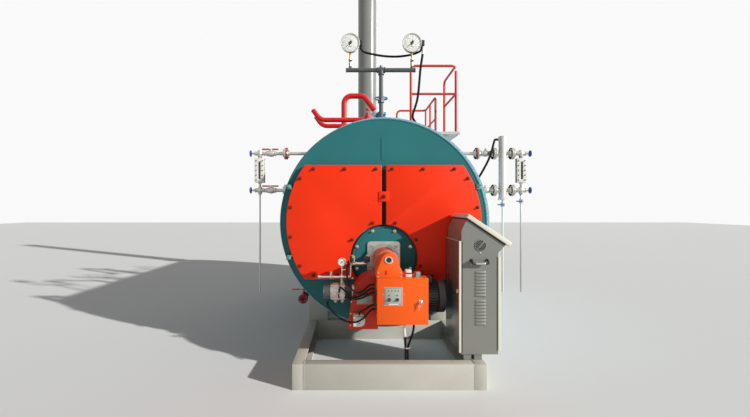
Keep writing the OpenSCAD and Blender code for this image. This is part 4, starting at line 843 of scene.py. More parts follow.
def makeFlange():
    shape = bmesh.new()
    outline = [(x, burnerZ + z) for x, z in roundedSquare(head["flangeSide"], head["flangeCorner"])]
    add(shape, prismShape(outline, flangeFace, flangeFace + head["flangeThick"], 0.0025))
    radius, length = head["collarRadius"], head["collarLength"]
    put(shape, turnedShape([(0.090, 0), (radius + 0.008, 0), (radius + 0.003, 0.004), (radius, 0.012),
        (radius, length - 0.010), (radius + 0.005, length - 0.008), (radius + 0.005, length - 0.002),
        (radius + 0.003, length), (0.090, length)], 96, True), 0, (0, -1, 0), (0, flangeFace, burnerZ))
    for x in (-1, 1):
        for z in (-1, 1):
            place = (x * head["boltPitch"], flangeFace, burnerZ + z * head["boltPitch"])
            put(shape, boltShape(0.012, 0.011), 1, (0, -1, 0), place)
    for turn in (20, 90, 160):
        along = (math.cos(math.radians(turn)), 0, math.sin(math.radians(turn)))
        place = Vector((0, collarFace + 0.018, burnerZ)) + Vector(along) * radius
        put(shape, screwShape(0.007), 1, along, place)
    makePiece("burner_flange_dressed", shape, ["castAlloy", "zincBolt"],
        hides=["burner_flange"])


def makeHead():
    shape = bmesh.new()
    hoodFront = plateFace - head["reach"]
    hoodBack = hoodFront + head["hoodLength"]
    radius, top = head["radius"], head["boxTop"]
    # round casting between hood and collar, with a rolled rim at each end; its paler pink finish is partly
    # painted reflection
    length = collarFace - hoodBack
    put(shape, turnedShape([(0, -0.004), (radius, -0.004), (radius, 0.010), (radius + 0.004, 0.012),
        (radius + 0.004, 0.024), (radius, 0.027), (radius, length - 0.030), (radius + 0.006, length - 0.026),
        (radius + 0.006, length), (0, length)], 96), 4, (0, 1, 0), (0, hoodBack, burnerZ))
    # blast tube behind the flange, open at the furnace end
    put(shape, turnedShape([(0.080, 0.0), (0.088, 0.0), (0.088, 0.260), (0.080, 0.260)], 64, True), 1,
        (0, 1, 0), (0, collarFace + 0.0002, burnerZ))
    # arched hood: two sides that lean in from their shoulders to a smaller arch, its front cut back by a
    # leaning plane
    shoulder, crown, crownZ = top + head["shoulder"], head["crown"], burnerZ + head["crownUp"]
    meet = math.atan2(shoulder - crownZ, radius) + math.acos(crown / math.hypot(radius, crownZ - shoulder))
    outline = [(-radius, shoulder), (-radius, top), (radius, top), (radius, shoulder)]
    for i in range(33):
        turn = meet + (math.pi - 2 * meet) * i / 32
        outline.append((crown * math.cos(turn), crownZ + crown * math.sin(turn)))
    hood = prismShape(outline, hoodFront, hoodBack)
    lean = math.radians(head["lean"])
    cut = bmesh.ops.bisect_plane(hood, geom=hood.verts[:] + hood.edges[:] + hood.faces[:], dist=1e-6,
        plane_co=(0, hoodFront, burnerZ + head["leanAt"]), plane_no=(0, -math.cos(lean), math.sin(lean)),
        clear_outer=True)
    rim = [item for item in cut["geom_cut"] if isinstance(item, bmesh.types.BMEdge)]
    bmesh.ops.edgeloop_fill(hood, edges=rim)
    bmesh.ops.recalc_face_normals(hood, faces=hood.faces)
    bevelEdges(hood, sharpEdges(hood, 20), head["edge"], 3)
    add(shape, hood)
    # lip along the foot of the hood, with its screws
    lip = boxShape((-radius - 0.003, hoodFront - 0.002, top + 0.0002), (radius + 0.003, hoodBack,
        top + 0.016), 0.002)
    add(shape, lip)
    for x in (-radius + 0.014, radius - 0.014):
        put(shape, screwShape(0.0055), 2, (0, -1, 0), (x, hoodFront - 0.002, top + 0.008))
        put(shape, screwShape(0.0055), 2, (0, -1, 0), (x, hoodFront, top + 0.036))
    # small slotted lug under the sight glass
    add(shape, boxShape((-0.032, hoodFront - 0.003, top + 0.024), (-0.016, hoodFront, top + 0.056), 0.003), 3)
    # neck down to the fan
    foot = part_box("burner_head")[0].z
    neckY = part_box("fan_housing")
    middle = (neckY[0].y + neckY[1].y) / 2
    add(shape, boxShape((-0.070, middle - 0.090, foot), (0.090, middle + 0.090, burnerZ - 0.040), 0.006))
    makePiece("burner_head_dressed", shape, ["burnerPaint", "motorBlack", "zincBolt", "fanPaint",
        "headPaintAndSheen"], hides=["burner_head"])


def makeSightGlass():
    shape = bmesh.new()
    lean = math.radians(head["lean"])
    middle = Vector((0, plateFace - head["reach"], burnerZ + head["leanAt"]))
    middle += Vector((0, math.sin(lean), math.cos(lean))) * head["glassAt"]
    matrix = toward((0, -math.cos(lean), math.sin(lean)), middle)
    add(shape, turnedShape([(0.021, 0.001), (0.033, 0.0), (0.033, 0.006), (0.030, 0.0085), (0.024, 0.0085),
        (0.021, 0.006)], 48, True), 0, matrix)
    # the dark disc is the glass, black for the shade behind it: painted shade
    add(shape, drumShape(0.0215, 0.003, 0.0005, 48), 1, matrix)
    makePiece("sight_glass", shape, ["brightSteel", "paintedShadeBlack"])


makeFlange()
makeHead()
makeSightGlass()


# Fan housing: scroll and air intake with rolled joints and cover screws
fan = {"edge": 0.004, "screws": 10}


def makeFan():
    easeNode("fan_housing", "fanPaint", fan["edge"], 2)
    shape = bmesh.new()
    low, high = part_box("fan_housing")
    shaftY = (low.y + high.y) / 2
    radius = (high.y - low.y) / 2
    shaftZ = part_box("burner_motor")[0].z + 0.138
    for x in (-0.078, 0.243):
        rim = [(radius - 0.002, -0.004), (radius + 0.005, -0.004), (radius + 0.006, 0.0),
            (radius + 0.005, 0.004), (radius - 0.002, 0.004)]
        put(shape, turnedShape(rim, 96, True), 0, (1, 0, 0), (x, shaftY, shaftZ))
    # screws along the front edge of the intake and round its cheek
    for i in range(5):
        z = low.z + 0.030 + 0.095 * i
        put(shape, screwShape(0.006), 1, (0, -1, 0), (low.x + 0.020 + 0.004 * i, shaftY - 0.185, z))
    for i in range(fan["screws"]):
        turn = math.tau * (i + 0.5) / fan["screws"]
        place = (high.x, shaftY + (radius - 0.014) * math.cos(turn),
            shaftZ + (radius - 0.014) * math.sin(turn))
        put(shape, boltShape(0.006, 0.006), 1, (1, 0, 0), place)
    makePiece("fan_housing_trim", shape, ["fanPaint", "zincBolt"])
    return shaftY, shaftZ


shaftY, shaftZ = makeFan()


# Fan motor: finned body, end shield, cowl with a ring grille, terminal box
motor = {"start": 0.245, "length": 0.246, "radius": 0.132, "cowl": 0.062, "fins": 36, "flange": 0.014}


def makeMotor():
    shape = bmesh.new()
    radius, start = motor["radius"], motor["start"]
    across = toward((1, 0, 0), (start, shaftY, shaftZ))
    add(shape, turnedShape([(0, 0), (radius + 0.006, 0), (radius + 0.006, 0.012), (radius, 0.014),
        (radius - 0.010, 0.022), (0, 0.022)], 72), 0, across)
    body = motor["length"] - motor["cowl"]
    add(shape, drumShape(radius - 0.016, body + 0.010, 0.002, 72), 0, across)
    for i in range(motor["fins"]):
        fin = boxShape((-0.0022, radius - 0.022, 0.018), (0.0022, radius - 0.001, body - 0.004), 0.0008, 1)
        add(shape, fin, 0, across @ Matrix.Rotation(math.tau * i / motor["fins"], 4, "Z"))
    end = motor["length"]
    add(shape, turnedShape([(radius - 0.012, body), (radius + 0.002, body), (radius + 0.003, body + 0.003),
        (radius + 0.003, end - 0.010), (radius - 0.004, end - 0.002), (radius - 0.012, end),
        (radius - 0.016, end - 0.002), (radius - 0.016, body + 0.004)], 72, True), 0, across)
    # ring grille in front of the fan wheel, with blades behind it on a dark disc that is painted shade inside
    # the cowl
    for ring in (0.022, 0.040, 0.058, 0.076, 0.094, 0.112):
        wire = turnedShape([(ring + 0.0024 * math.cos(math.tau * k / 8),
            0.0024 * math.sin(math.tau * k / 8)) for k in range(8)], 48, True)
        add(shape, wire, 1, across @ Matrix.Translation((0, 0, end - 0.004)))
    for i in range(4):
        spoke = boxShape((-0.002, 0.014, end - 0.007), (0.002, radius - 0.014, end - 0.003), 0.0008, 1)
        add(shape, spoke, 1, across @ Matrix.Rotation(math.tau * (i + 0.5) / 4, 4, "Z"))
    add(shape, drumShape(radius - 0.015, 0.004, 0.0005, 48), 2, across @ Matrix.Translation((0, 0,
        body + 0.012)))
    for i in range(7):
        blade = boxShape((-0.0015, 0.030, body + 0.014), (0.0015, radius - 0.026, body + 0.040), 0.0006, 1)
        add(shape, blade, 0, across @ Matrix.Rotation(math.tau * i / 7, 4, "Z"))
    add(shape, drumShape(0.030, 0.034, 0.004, 32), 0, across @ Matrix.Translation((0, 0, body + 0.012)))
    # terminal box with its lid, screws and gland
    low = Vector((start + 0.040, shaftY - 0.050, shaftZ + radius - 0.014))
    high = Vector((start + 0.140, shaftY + 0.050, shaftZ + radius + 0.022))
    add(shape, boxShape(low, high, 0.006, 3))
    add(shape, boxShape((low.x - 0.002, low.y - 0.002, high.z - 0.001), (high.x + 0.002, high.y + 0.002,
        high.z + 0.008), 0.003, 3))
    for x in (low.x + 0.010, high.x - 0.010):
        for y in (low.y + 0.010, high.y - 0.010):
            put(shape, screwShape(0.0045), 1, (0, 0, 1), (x, y, high.z + 0.008))
    gland = [(0, 0), (0.013, 0), (0.013, 0.008), (0.010, 0.010), (0.010, 0.020), (0.007, 0.024), (0, 0.024)]
    put(shape, turnedShape(gland, 24), 0, (0, -1, 0), ((low.x + high.x) / 2, low.y, low.z + 0.018))
    makePiece("burner_motor_dressed", shape, ["motorBlack", "zincBolt", "paintedShadeBlack"],
        hides=["burner_motor"])


makeMotor()
print("burner body done")

rightward, leftward, forward, backward, upward = (1, 0, 0), (-1, 0, 0), (0, -1, 0), (0, 1, 0), (0, 0, 1)


# A round bar with eased ends, from one point to another
def barShape(start, end, radius, rim=0.001, steps=32):
    start, end = Vector(start), Vector(end)
    shape = drumShape(radius, (end - start).length, rim, steps)
    bmesh.ops.transform(shape, matrix=toward(end - start, start), verts=shape.verts)
    return shape


# A hexagon fitting from one point along an axis
def hexShape(radius, height):
    shape = bmesh.new()
    bmesh.ops.create_cone(shape, cap_ends=True, segments=6, radius1=radius, radius2=radius, depth=height,
        matrix=Matrix.Translation((0, 0, height / 2)))
    ends = [edge for edge in shape.edges if abs(edge.verts[0].co.z - edge.verts[1].co.z) < height / 2]
    bevelEdges(shape, ends, radius * 0.12, 1)
    return shape


# A tray of folded sheet, open on one side
def panShape(low, high, wall, way, edge=0.003, steps=3):
    shape = boxShape(low, high, 0)
    way = Vector(way)

    def openFace():
        return max(shape.faces, key=lambda face: face.calc_center_median().dot(way))

    rim = set(openFace().edges)
    bevelEdges(shape, [side for side in shape.edges if side not in rim], edge, steps)
    back = openFace()
    depth = abs((Vector(high) - Vector(low)).dot(way)) - wall
    bmesh.ops.inset_region(shape, faces=[back], thickness=wall, use_even_offset=True)
    grown = bmesh.ops.extrude_face_region(shape, geom=[back])["geom"]
    floor = [item for item in grown if isinstance(item, bmesh.types.BMVert)]
    bmesh.ops.translate(shape, verts=floor, vec=-way * depth)
    if back.is_valid:
        bmesh.ops.delete(shape, geom=[back], context="FACES_ONLY")
    bmesh.ops.recalc_face_normals(shape, faces=shape.faces)
    return shape


# Control box: a folded tray as the door, with its operator panel and lock
box = {
    "sheet": 0.002, "edge": 0.003, "hinges": (0.040, 0.265), "knuckle": 0.050, "panelAt": (0.058, 0.153),
    "panel": (0.134, 0.132), "lockAt": (0.333, 0.176), "glandDrops": (0.056, 0.088, 0.120, 0.214, 0.248),
    "glandsBelow": (0.217, 0.289), "glandSet": 0.034,
}
doorLow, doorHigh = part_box("control_box_door")
boxLeft, boxFront = doorLow.x + 0.008, doorLow.y + 0.030
boxSeam = doorHigh.y - 0.0035
glandY = boxSeam + box["glandSet"]


def makeBoxDoor():
    shape = bmesh.new()
    add(shape, panShape((boxLeft, boxFront, doorLow.z), (doorHigh.x, boxSeam, doorHigh.z), box["sheet"],
        backward, box["edge"]))
    for z in box["hinges"]:
        z += doorLow.z + box["knuckle"] / 2
        add(shape, barShape((boxLeft - 0.004, boxSeam - 0.0005, z), (boxLeft - 0.004, boxSeam - 0.0005,
            z + 0.025), 0.004, 0.0006, 24))
        add(shape, boxShape((boxLeft - 0.004, boxSeam - 0.0045, z), (boxLeft + 0.001, boxSeam - 0.001,
            z + 0.025), 0.0005, 1))
    # operator panel: film left on its rim, grey face with a shallow field, lamps and two selector knobs
    x0, z0 = boxLeft + box["panelAt"][0], doorLow.z + box["panelAt"][1]
    width, height = box["panel"]
    add(shape, boxShape((x0 - 0.006, boxFront - 0.0012, z0 - 0.007), (x0 + width + 0.005, boxFront,
        z0 + height + 0.004), 0.0005, 1), 2)
    add(shape, boxShape((x0, boxFront - 0.004, z0), (x0 + width, boxFront, z0 + height), 0.0022, 3), 1)
    add(shape, boxShape((x0 + 0.010, boxFront - 0.0048, z0 + 0.012), (x0 + width - 0.010, boxFront - 0.003,
        z0 + height - 0.010), 0.0012, 2), 8)
    add(shape, boxShape((x0 + 0.030, boxFront - 0.0056, z0 + 0.001), (x0 + 0.104, boxFront - 0.004,
        z0 + 0.010), 0.0006, 1), 9)
    for i in range(4):
        lamp = turnedShape([(0, 0), (0.0052, 0), (0.0052, 0.0014), (0.004, 0.0018), (0.0032, 0.0034),
            (0, 0.0042)], 20)
        add(shape, lamp, 3, frontward((x0 + 0.030 + 0.025 * i, boxFront - 0.0045, z0 + 0.108)))
    for i in range(2):
        x = x0 + 0.034 + 0.062 * i
        lamp = turnedShape([(0, 0), (0.0062, 0), (0.0062, 0.0014), (0.005, 0.0020), (0.004, 0.0036),
            (0, 0.0044)], 20)
        add(shape, lamp, 3 + i, frontward((x, boxFront - 0.0045, z0 + 0.074)))
        knob = turnedShape([(0, 0), (0.0135, 0), (0.0135, 0.0022), (0.0108, 0.003), (0.0100, 0.0085),
            (0.009, 0.0095), (0, 0.0095)], 40)
        add(shape, knob, 5, frontward((x, boxFront - 0.0045, z0 + 0.040)))
        turn = Matrix.Rotation(math.radians(-28 + 20 * i), 4, "Z")
        grip = boxShape((-0.0098, -0.0032, 0.008), (0.0098, 0.0032, 0.0150), 0.0016, 2)
        add(shape, grip, 5, frontward((x, boxFront - 0.0045, z0 + 0.040)) @ turn)
        mark = boxShape((-0.0006, 0.0008, 0.0148), (0.0006, 0.0090, 0.0153), 0)
        add(shape, mark, 9, frontward((x, boxFront - 0.0045,
            z0 + 0.040)) @ turn @ Matrix.Rotation(math.pi / 2, 4, "Z"))
    # two clips that hold the panel, and the lock with its key
    for x in (x0 - 0.012, x0 + width + 0.012):
        add(shape, screwShape(0.0045), 6, frontward((x, boxFront, z0 + 0.080)))
    x, z = boxLeft + box["lockAt"][0], doorLow.z + box["lockAt"][1]
    add(shape, turnedShape([(0, 0), (0.016, 0), (0.016, 0.0016), (0.0135, 0.003), (0.0125, 0.008),
        (0.010, 0.0095), (0, 0.0095)], 48), 6, frontward((x, boxFront, z)))
    add(shape, boxShape((-0.0012, -0.004, 0.009), (0.0012, 0.004, 0.020), 0.0004, 1), 6,
        frontward((x, boxFront, z)))
    bow = turnedShape([(0.0035, -0.0012), (0.009, -0.0012), (0.0095, 0), (0.009, 0.0012), (0.0035, 0.0012)],
        32, True)
    put(shape, bow, 6, rightward, (x, boxFront - 0.0205, z - 0.003))
    # spare key that hangs from its ring
    hung = Matrix.Translation((x - 0.004, boxFront - 0.0165, z - 0.010)) @ Matrix.Rotation(math.radians(14),
        4, "Y")
    ring = turnedShape([(0.0085, -0.0009), (0.0103, -0.0009), (0.0103, 0.0009), (0.0085, 0.0009)], 32, True)
    add(shape, ring, 6, hung @ Matrix.Translation((0, 0, -0.004)) @ Matrix.Rotation(math.pi / 2, 4, "X"))
    add(shape, boxShape((-0.0085, -0.0011, -0.030), (0.0085, 0.0011, -0.014), 0.0010, 1), 6, hung)
    add(shape, boxShape((-0.0035, -0.0010, -0.052), (0.0035, 0.0010, -0.029), 0.0008, 1), 6, hung)
    makePiece("control_box_door_dressed", shape, ["burnerPaint", "greyPlastic", "filmPink", "lampGreen",
        "lampRed", "blackPlastic", "brightSteel", "paintedShadeBlack", "panelFace", "whiteEnamel"], "control_box_door",
        ["control_box_door"])


# Cable glands of the box, and the screws at its back
def makeBoxTrim():
    shape = bmesh.new()
    places = [(leftward, (boxLeft, glandY, doorHigh.z - drop)) for drop in box["glandDrops"]]
    places += [((0, 0, -1), (boxLeft + across, glandY, doorLow.z)) for across in box["glandsBelow"]]
    for way, place in places:
        put(shape, hexShape(0.0115, 0.0052), 0, way, place)
        put(shape, turnedShape([(0.0058, 0.004), (0.0104, 0.004), (0.0104, 0.008), (0.0094, 0.0105),
            (0.0094, 0.0125), (0.0074, 0.0143), (0.0058, 0.0143)], 32, True), 0, way, place)
    for x in (boxLeft + 0.020, doorHigh.x - 0.020):
        for z in (doorLow.z + 0.020, doorHigh.z - 0.020):
            put(shape, screwShape(0.005), 1, backward, (x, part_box("control_box")[1].y, z))
    makePiece("control_box_glands", shape, ["blackPlastic", "zincBolt"])


makeBoxDoor()
makeBoxTrim()


# Oil pump: cast body with its two covers, bolts and ports
pump = {"radius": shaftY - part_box("fuel_pump")[0].y - 0.026, "height": 0.035,
    "left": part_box("fuel_pump")[0].x + 0.056}
pumpZ = shaftZ + pump["height"]
manifoldZ = shaftZ + 0.159


def makePump():
    easeNode("fuel_pump", "pumpAlloy", 0.0012, 1, degrees=50)
    shape = bmesh.new()
    left, radius = pump["left"], pump["radius"]
    for i in range(6):
        turn = math.radians(60 * i)
        y = shaftY + (radius - 0.012) * math.cos(turn)
        z = pumpZ + (radius - 0.012) * math.sin(turn)
        put(shape, boltShape(0.0072, 0.007), 0, leftward, (left + 0.010, y, z))
    # hexagon caps of the ports, the pressure screw, and the nuts over the pump
    for x in (left + 0.043, left + 0.100):
        put(shape, hexShape(0.0135, 0.012), 1, (0, 0, -1), (x, shaftY, pumpZ - radius - 0.004))
    put(shape, hexShape(0.019, 0.010), 1, forward, (left + 0.043, shaftY - radius - 0.014, pumpZ))
    put(shape, turnedShape([(0, 0), (0.0105, 0), (0.0105, 0.004), (0.008, 0.0055), (0.0055, 0.0055),
        (0.005, 0.003), (0, 0.003)], 32), 0, forward, (left + 0.043, shaftY - radius - 0.0225, pumpZ))
    put(shape, hexShape(0.016, 0.014), 1, upward, (left + 0.097, shaftY, pumpZ + radius - 0.004))
    put(shape, hexShape(0.014, 0.012), 1, upward, (left + 0.097, shaftY, manifoldZ - 0.030))
    # ring of the filter cap, its ribs and knob
    put(shape, turnedShape([(0, 0), (0.014, 0), (0.016, 0.002), (0.016, 0.010), (0.012, 0.0125), (0, 0.0125)],
        32), 2, rightward, (left - 0.062, shaftY, pumpZ))
    for i in range(16):
        rib = boxShape((-0.0018, radius - 0.0205, 0.0), (0.0018, radius - 0.0165, 0.050), 0.0006, 1)
        add(shape, rib, 3, toward(rightward, (left - 0.056, shaftY,
            pumpZ)) @ Matrix.Rotation(math.tau * i / 16, 4, "Z"))
    # coupling ring towards the fan, black to stand in for the shade there, groove between the covers, black
    # as the shade in it (both painted shade), and the filter cap's skin
    for start, end, reach, finish in ((0.119, 0.180, radius - 0.0095, 4), (0.0665, 0.0855, radius - 0.0125,
            4), (-0.055, -0.001, radius - 0.0172, 3)):
        add(shape, barShape((left + start, shaftY, pumpZ), (left + end, shaftY, pumpZ), reach, 0.0015, 64),
            finish)
    # raised web and round pad on the front of the body
    put(shape, turnedShape([(0, 0), (0.024, 0), (0.024, 0.006), (0.021, 0.009), (0.013, 0.009),
        (0.011, 0.006), (0, 0.006)], 40), 5, forward, (left + 0.100, shaftY - radius + 0.002, pumpZ - 0.016))
    for z in (-0.046, 0.040):
        add(shape, boxShape((left + 0.024, shaftY - radius + 0.004, pumpZ + z),
            (left + 0.116, shaftY - 0.040, pumpZ + z + 0.007), 0.002, 2), 5)
    makePiece("fuel_pump_fixings", shape, ["zincBolt", "paleBrass", "paleSteel", "darkAlloy", "motorBlack",
        "pumpAlloy"])


# Round gauge: case, bezel, dial with ticks, numbers and hands, behind a glass. Its materials stand in
# the order case, dial, hands, glass, print
def addGauge(shape, place, radius, depth, first, marks, figures, aim, hands=1):
    front = frontward(place)
    rim = radius * 0.10
    add(shape, turnedShape([(0, 0), (radius - rim, 0), (radius - 0.004, rim * 0.4),
        (radius - 0.003, depth - 0.013), (radius, depth - 0.0115), (radius, depth - 0.002),
        (radius - 0.002, depth), (radius - rim * 0.7, depth), (radius - rim, depth - 0.003),
        (radius - rim * 1.12, depth - 0.009), (0, depth - 0.009)], 72), first, front)
    face = depth - 0.0088
    add(shape, drumShape(radius - rim * 1.15, 0.0008, 0.0002, 64), first + 1,
        front @ Matrix.Translation((0, 0, face)))
    ink = face + 0.0009
    reach = radius - rim * 1.5
    for i in range(marks * 5 + 1):
        turn = Matrix.Rotation(math.radians(135 - 270 * i / (marks * 5)), 4, "Z")
        long = reach * (0.12 if i % 5 == 0 else 0.06)
        wide = radius * (0.010 if i % 5 == 0 else 0.005)
        tick = boxShape((-wide, reach - long, ink), (wide, reach, ink + 0.0003), 0)
        add(shape, tick, first + 4, front @ turn)
    for i, figure in enumerate(figures):
        turn = math.radians(225 - 270 * i / (len(figures) - 1))
        spot = (reach * 0.72 * math.cos(turn), reach * 0.72 * math.sin(turn), ink)
        add(shape, figureShape(figure, radius * 0.15), first + 4, front @ Matrix.Translation(spot))
    for i in range(hands):
        turn = Matrix.Rotation(math.radians(aim - 150 * i), 4, "Z")
        hand = boxShape((-radius * 0.050, -reach * 0.34, ink + 0.001), (radius * 0.050,
            reach * (0.80 - 0.35 * i), ink + 0.0016), 0)
        for vert in hand.verts:
            if vert.co.y > 0:
                vert.co.x *= 0.25
        add(shape, hand, first + 2, front @ turn)
    add(shape, drumShape(radius * 0.15, 0.0035, 0.0006, 32), first + 2, front @ Matrix.Translation((0, 0,
        ink)))
    add(shape, figureShape("MPa", radius * 0.17), first + 2, front @ Matrix.Translation((0, -reach * 0.50,
        ink)))
    add(shape, drumShape(radius - rim, 0.0012, 0.0003, 64), first + 3, front @ Matrix.Translation((0, 0,
        depth - 0.0036)))


# Oil pipes over the pump: manifold, risers, small gauge and two solenoid valves
def makeFuelPipes():
    shape = bmesh.new()
    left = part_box("fuel_pipes")[0].x + 0.001
    right = left + 0.278
    rise = manifoldZ + 0.114
    gaugeX = right - 0.075
    coilZ = rise + 0.034
    add(shape, tubeShape(bentPath([(left, shaftY, manifoldZ), (right, shaftY, manifoldZ),
        (right, shaftY, rise), (right + 0.115, shaftY, rise), (right + 0.115, shaftY + 0.100, rise)], 0.016),
        0.008, 20))
    add(shape, barShape((left + 0.020, shaftY, manifoldZ), (right - 0.040, shaftY, manifoldZ), 0.011))
    for i, x in enumerate((left + 0.012, gaugeX - 0.093, gaugeX, right - 0.026)):
        put(shape, hexShape(0.0155, 0.026), 1 if i % 2 else 0, rightward, (x - 0.013, shaftY, manifoldZ))
    for x, top in ((gaugeX - 0.093, 0.046), (gaugeX, 0.100)):
        add(shape, barShape((x, shaftY, manifoldZ), (x, shaftY, manifoldZ + top), 0.007), 1)
        put(shape, hexShape(0.0115, 0.012), 0, upward, (x, shaftY, manifoldZ + 0.012))
    put(shape, hexShape(0.0105, 0.009), 1, upward, (gaugeX - 0.093, shaftY, manifoldZ + 0.038))
    put(shape, hexShape(0.0115, 0.016), 1, upward, (gaugeX, shaftY, manifoldZ + 0.080))
    # small needle valve under the gauge, with a red handle
    add(shape, barShape((gaugeX, shaftY, manifoldZ + 0.062), (gaugeX + 0.030, shaftY, manifoldZ + 0.062),
        0.006), 1)
    add(shape, boxShape((gaugeX + 0.028, shaftY - 0.004, manifoldZ + 0.050),
        (gaugeX + 0.033, shaftY + 0.004, manifoldZ + 0.086), 0.0015, 2), 8)
    addGauge(shape, (gaugeX, shaftY + 0.016, manifoldZ + 0.130), 0.035, 0.032, 2, 5,
        ["0", "10", "20", "30", "40"], 135)
    # solenoid valves: brass bodies, coils with their plugs
    add(shape, barShape((right, shaftY, rise), (right + 0.150, shaftY, rise), 0.013), 0)
    for i, x in enumerate((right + 0.012, right + 0.139)):
        add(shape, barShape((x, shaftY, rise), (x, shaftY, coilZ - 0.010), 0.009), 1)
        put(shape, hexShape(0.016, 0.020), 1, rightward, (x - 0.010, shaftY, rise))
        split = x - 0.003 + 0.006 * i
        add(shape, boxShape((x - 0.022, shaftY - 0.024, coilZ - 0.020), (split - 0.0003, shaftY + 0.024,
            coilZ + 0.034), 0.004, 3), 9 if i == 0 else 7)
        add(shape, boxShape((split + 0.0003, shaftY - 0.0235, coilZ - 0.019),
            (x + 0.022, shaftY + 0.0235, coilZ + 0.032), 0.003, 3), 10 if i == 0 else 9)
        for step in range(4):
            z = coilZ - 0.012 + 0.011 * step
            add(shape, boxShape((x - 0.0226, shaftY - 0.0246, z), (split - 0.002, shaftY + 0.0246, z + 0.004),
                0.001, 1), 9)
        put(shape, hexShape(0.010, 0.007), 0, upward, (x, shaftY, coilZ + 0.0335))
        add(shape, boxShape((x - 0.012, shaftY - 0.044, coilZ - 0.012), (x + 0.012, shaftY - 0.024,
            coilZ + 0.018), 0.003, 2), 9)
    for x in (right + 0.048, right + 0.100):
        put(shape, hexShape(0.017, 0.014), 0, rightward, (x - 0.007, shaftY, rise))
    makePiece("fuel_pipes_dressed", shape, ["brightSteel", "paleBrass", "paleSteel", "dialWhite", "inkBlack",
        "clearGlass", "inkGrey", "coilBrown", "leverRed", "blackPlastic", "plugBeige"],
        hides=["fuel_pipes"])


# Damper motor, air pressure switch, relay and ignition transformer
def makeFittings():
    shape = bmesh.new()
    face = shaftY - 0.185
    # damper motor: grey case, lid with its screws and pale plate
    add(shape, boxShape((-0.250, face - 0.034, 0.640), (-0.124, face, 0.704), 0.003, 3), 0)
    add(shape, boxShape((-0.251, face - 0.048, 0.639), (-0.123, face - 0.035, 0.705), 0.004, 3), 0)
    add(shape, boxShape((-0.238, face - 0.0492, 0.650), (-0.170, face - 0.0478, 0.694), 0.001, 2), 6)
    for x in (-0.245, -0.129):
        for z in (0.645, 0.699):
            add(shape, screwShape(0.0032), 2, frontward((x, face - 0.048, z)))
    # pressure switch: grey base, white cover that is square on the left and rounded on the right, two nipples
    x, z, half, arc = -0.232, 0.514, 0.048, 0.040

    def coverLine(inset, top):
        reach = arc - inset
        corners = [(x - half + inset, top), (x - half + inset, z - half + inset)]
        for middle, first in ((z - half + arc, -90), (z + half - arc, 0)):
            corners += [(x + half - arc + reach * math.cos(math.radians(first + 15 * i)),
                min(top, middle + reach * math.sin(math.radians(first + 15 * i)))) for i in range(7)]
        return corners

    add(shape, prismShape(coverLine(0.0, z + half), face - 0.030, face, 0.002, 2), 6)
    add(shape, prismShape(coverLine(0.001, z + half * 0.62), face - 0.064, face - 0.0305, 0.004, 3), 1)
    add(shape, boxShape((x - half + 0.006, face - 0.052, z + half * 0.62 + 0.0005),
        (x + half - 0.014, face - 0.0305, z + half - 0.002), 0.003, 2), 1)
    add(shape, drumShape(0.0048, 0.002, 0.0006, 20), 3, frontward((x, face - 0.0635, z - 0.020)))
    for across in (-0.036, 0.026):
        add(shape, screwShape(0.0032), 2, frontward((x + across, face - 0.052, z + half - 0.010)))
    for across in (-0.014, 0.014):
        add(shape, barShape((x + across, face - 0.016, z - half), (x + across, face - 0.016,
            z - half - 0.014), 0.005, 0.0008, 16), 5)
    # flame relay and its base on the box, and the small transformer beside it
    top, deep = doorHigh.z, boxSeam + 0.030
    add(shape, boxShape((0.128, deep, top), (0.176, deep + 0.060, top + 0.024), 0.003, 2), 1)
    add(shape, boxShape((0.130, deep + 0.002, top + 0.0242), (0.174, deep + 0.058, top + 0.032), 0.001, 1), 4)
    add(shape, boxShape((0.129, deep + 0.001, top + 0.0322), (0.175, deep + 0.059, top + 0.056), 0.004, 3), 1)
    add(shape, boxShape((0.203, deep, top + 0.004), (0.249, deep + 0.040, top + 0.040), 0.004, 3), 0)
    add(shape, boxShape((0.200, deep - 0.010, top), (0.252, deep + 0.054, top + 0.004), 0.001, 1), 5)
    for x in (0.2035, 0.2450):
        add(shape, boxShape((x, deep - 0.002, top + 0.003), (x + 0.0045, deep + 0.042, top + 0.044), 0.0015,
            2), 4)
    makePiece("burner_fittings_dressed", shape, ["greyPlastic", "whiteEnamel", "zincBolt", "inkGrey",
        "blackPlastic", "paleSteel", "panelFace"], hides=["burner_fittings"])


# Cables keep their route and become round
def roundCable(node, name, fuller):
    shape = bmesh.new()
    shape.from_mesh(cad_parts[node].data)
    bmesh.ops.remove_doubles(shape, verts=shape.verts, dist=2e-5)
    bmesh.ops.join_triangles(shape, faces=shape.faces, angle_face_threshold=math.radians(40),
        angle_shape_threshold=math.radians(60))
    # subdivision draws the section in, so the skin first moves out by as much
    shape.normal_update()
    for vert in shape.verts:
        walls = [face.normal for face in vert.link_faces if len(face.verts) <= 4]
        if walls:
            vert.co += sum(walls, Vector()).normalized() * fuller
    piece = makePiece(name, shape, ["cableBlack"], hides=[node], smooth=80)
    soften = piece.modifiers.new("round", "SUBSURF")
    soften.levels = soften.render_levels = 2


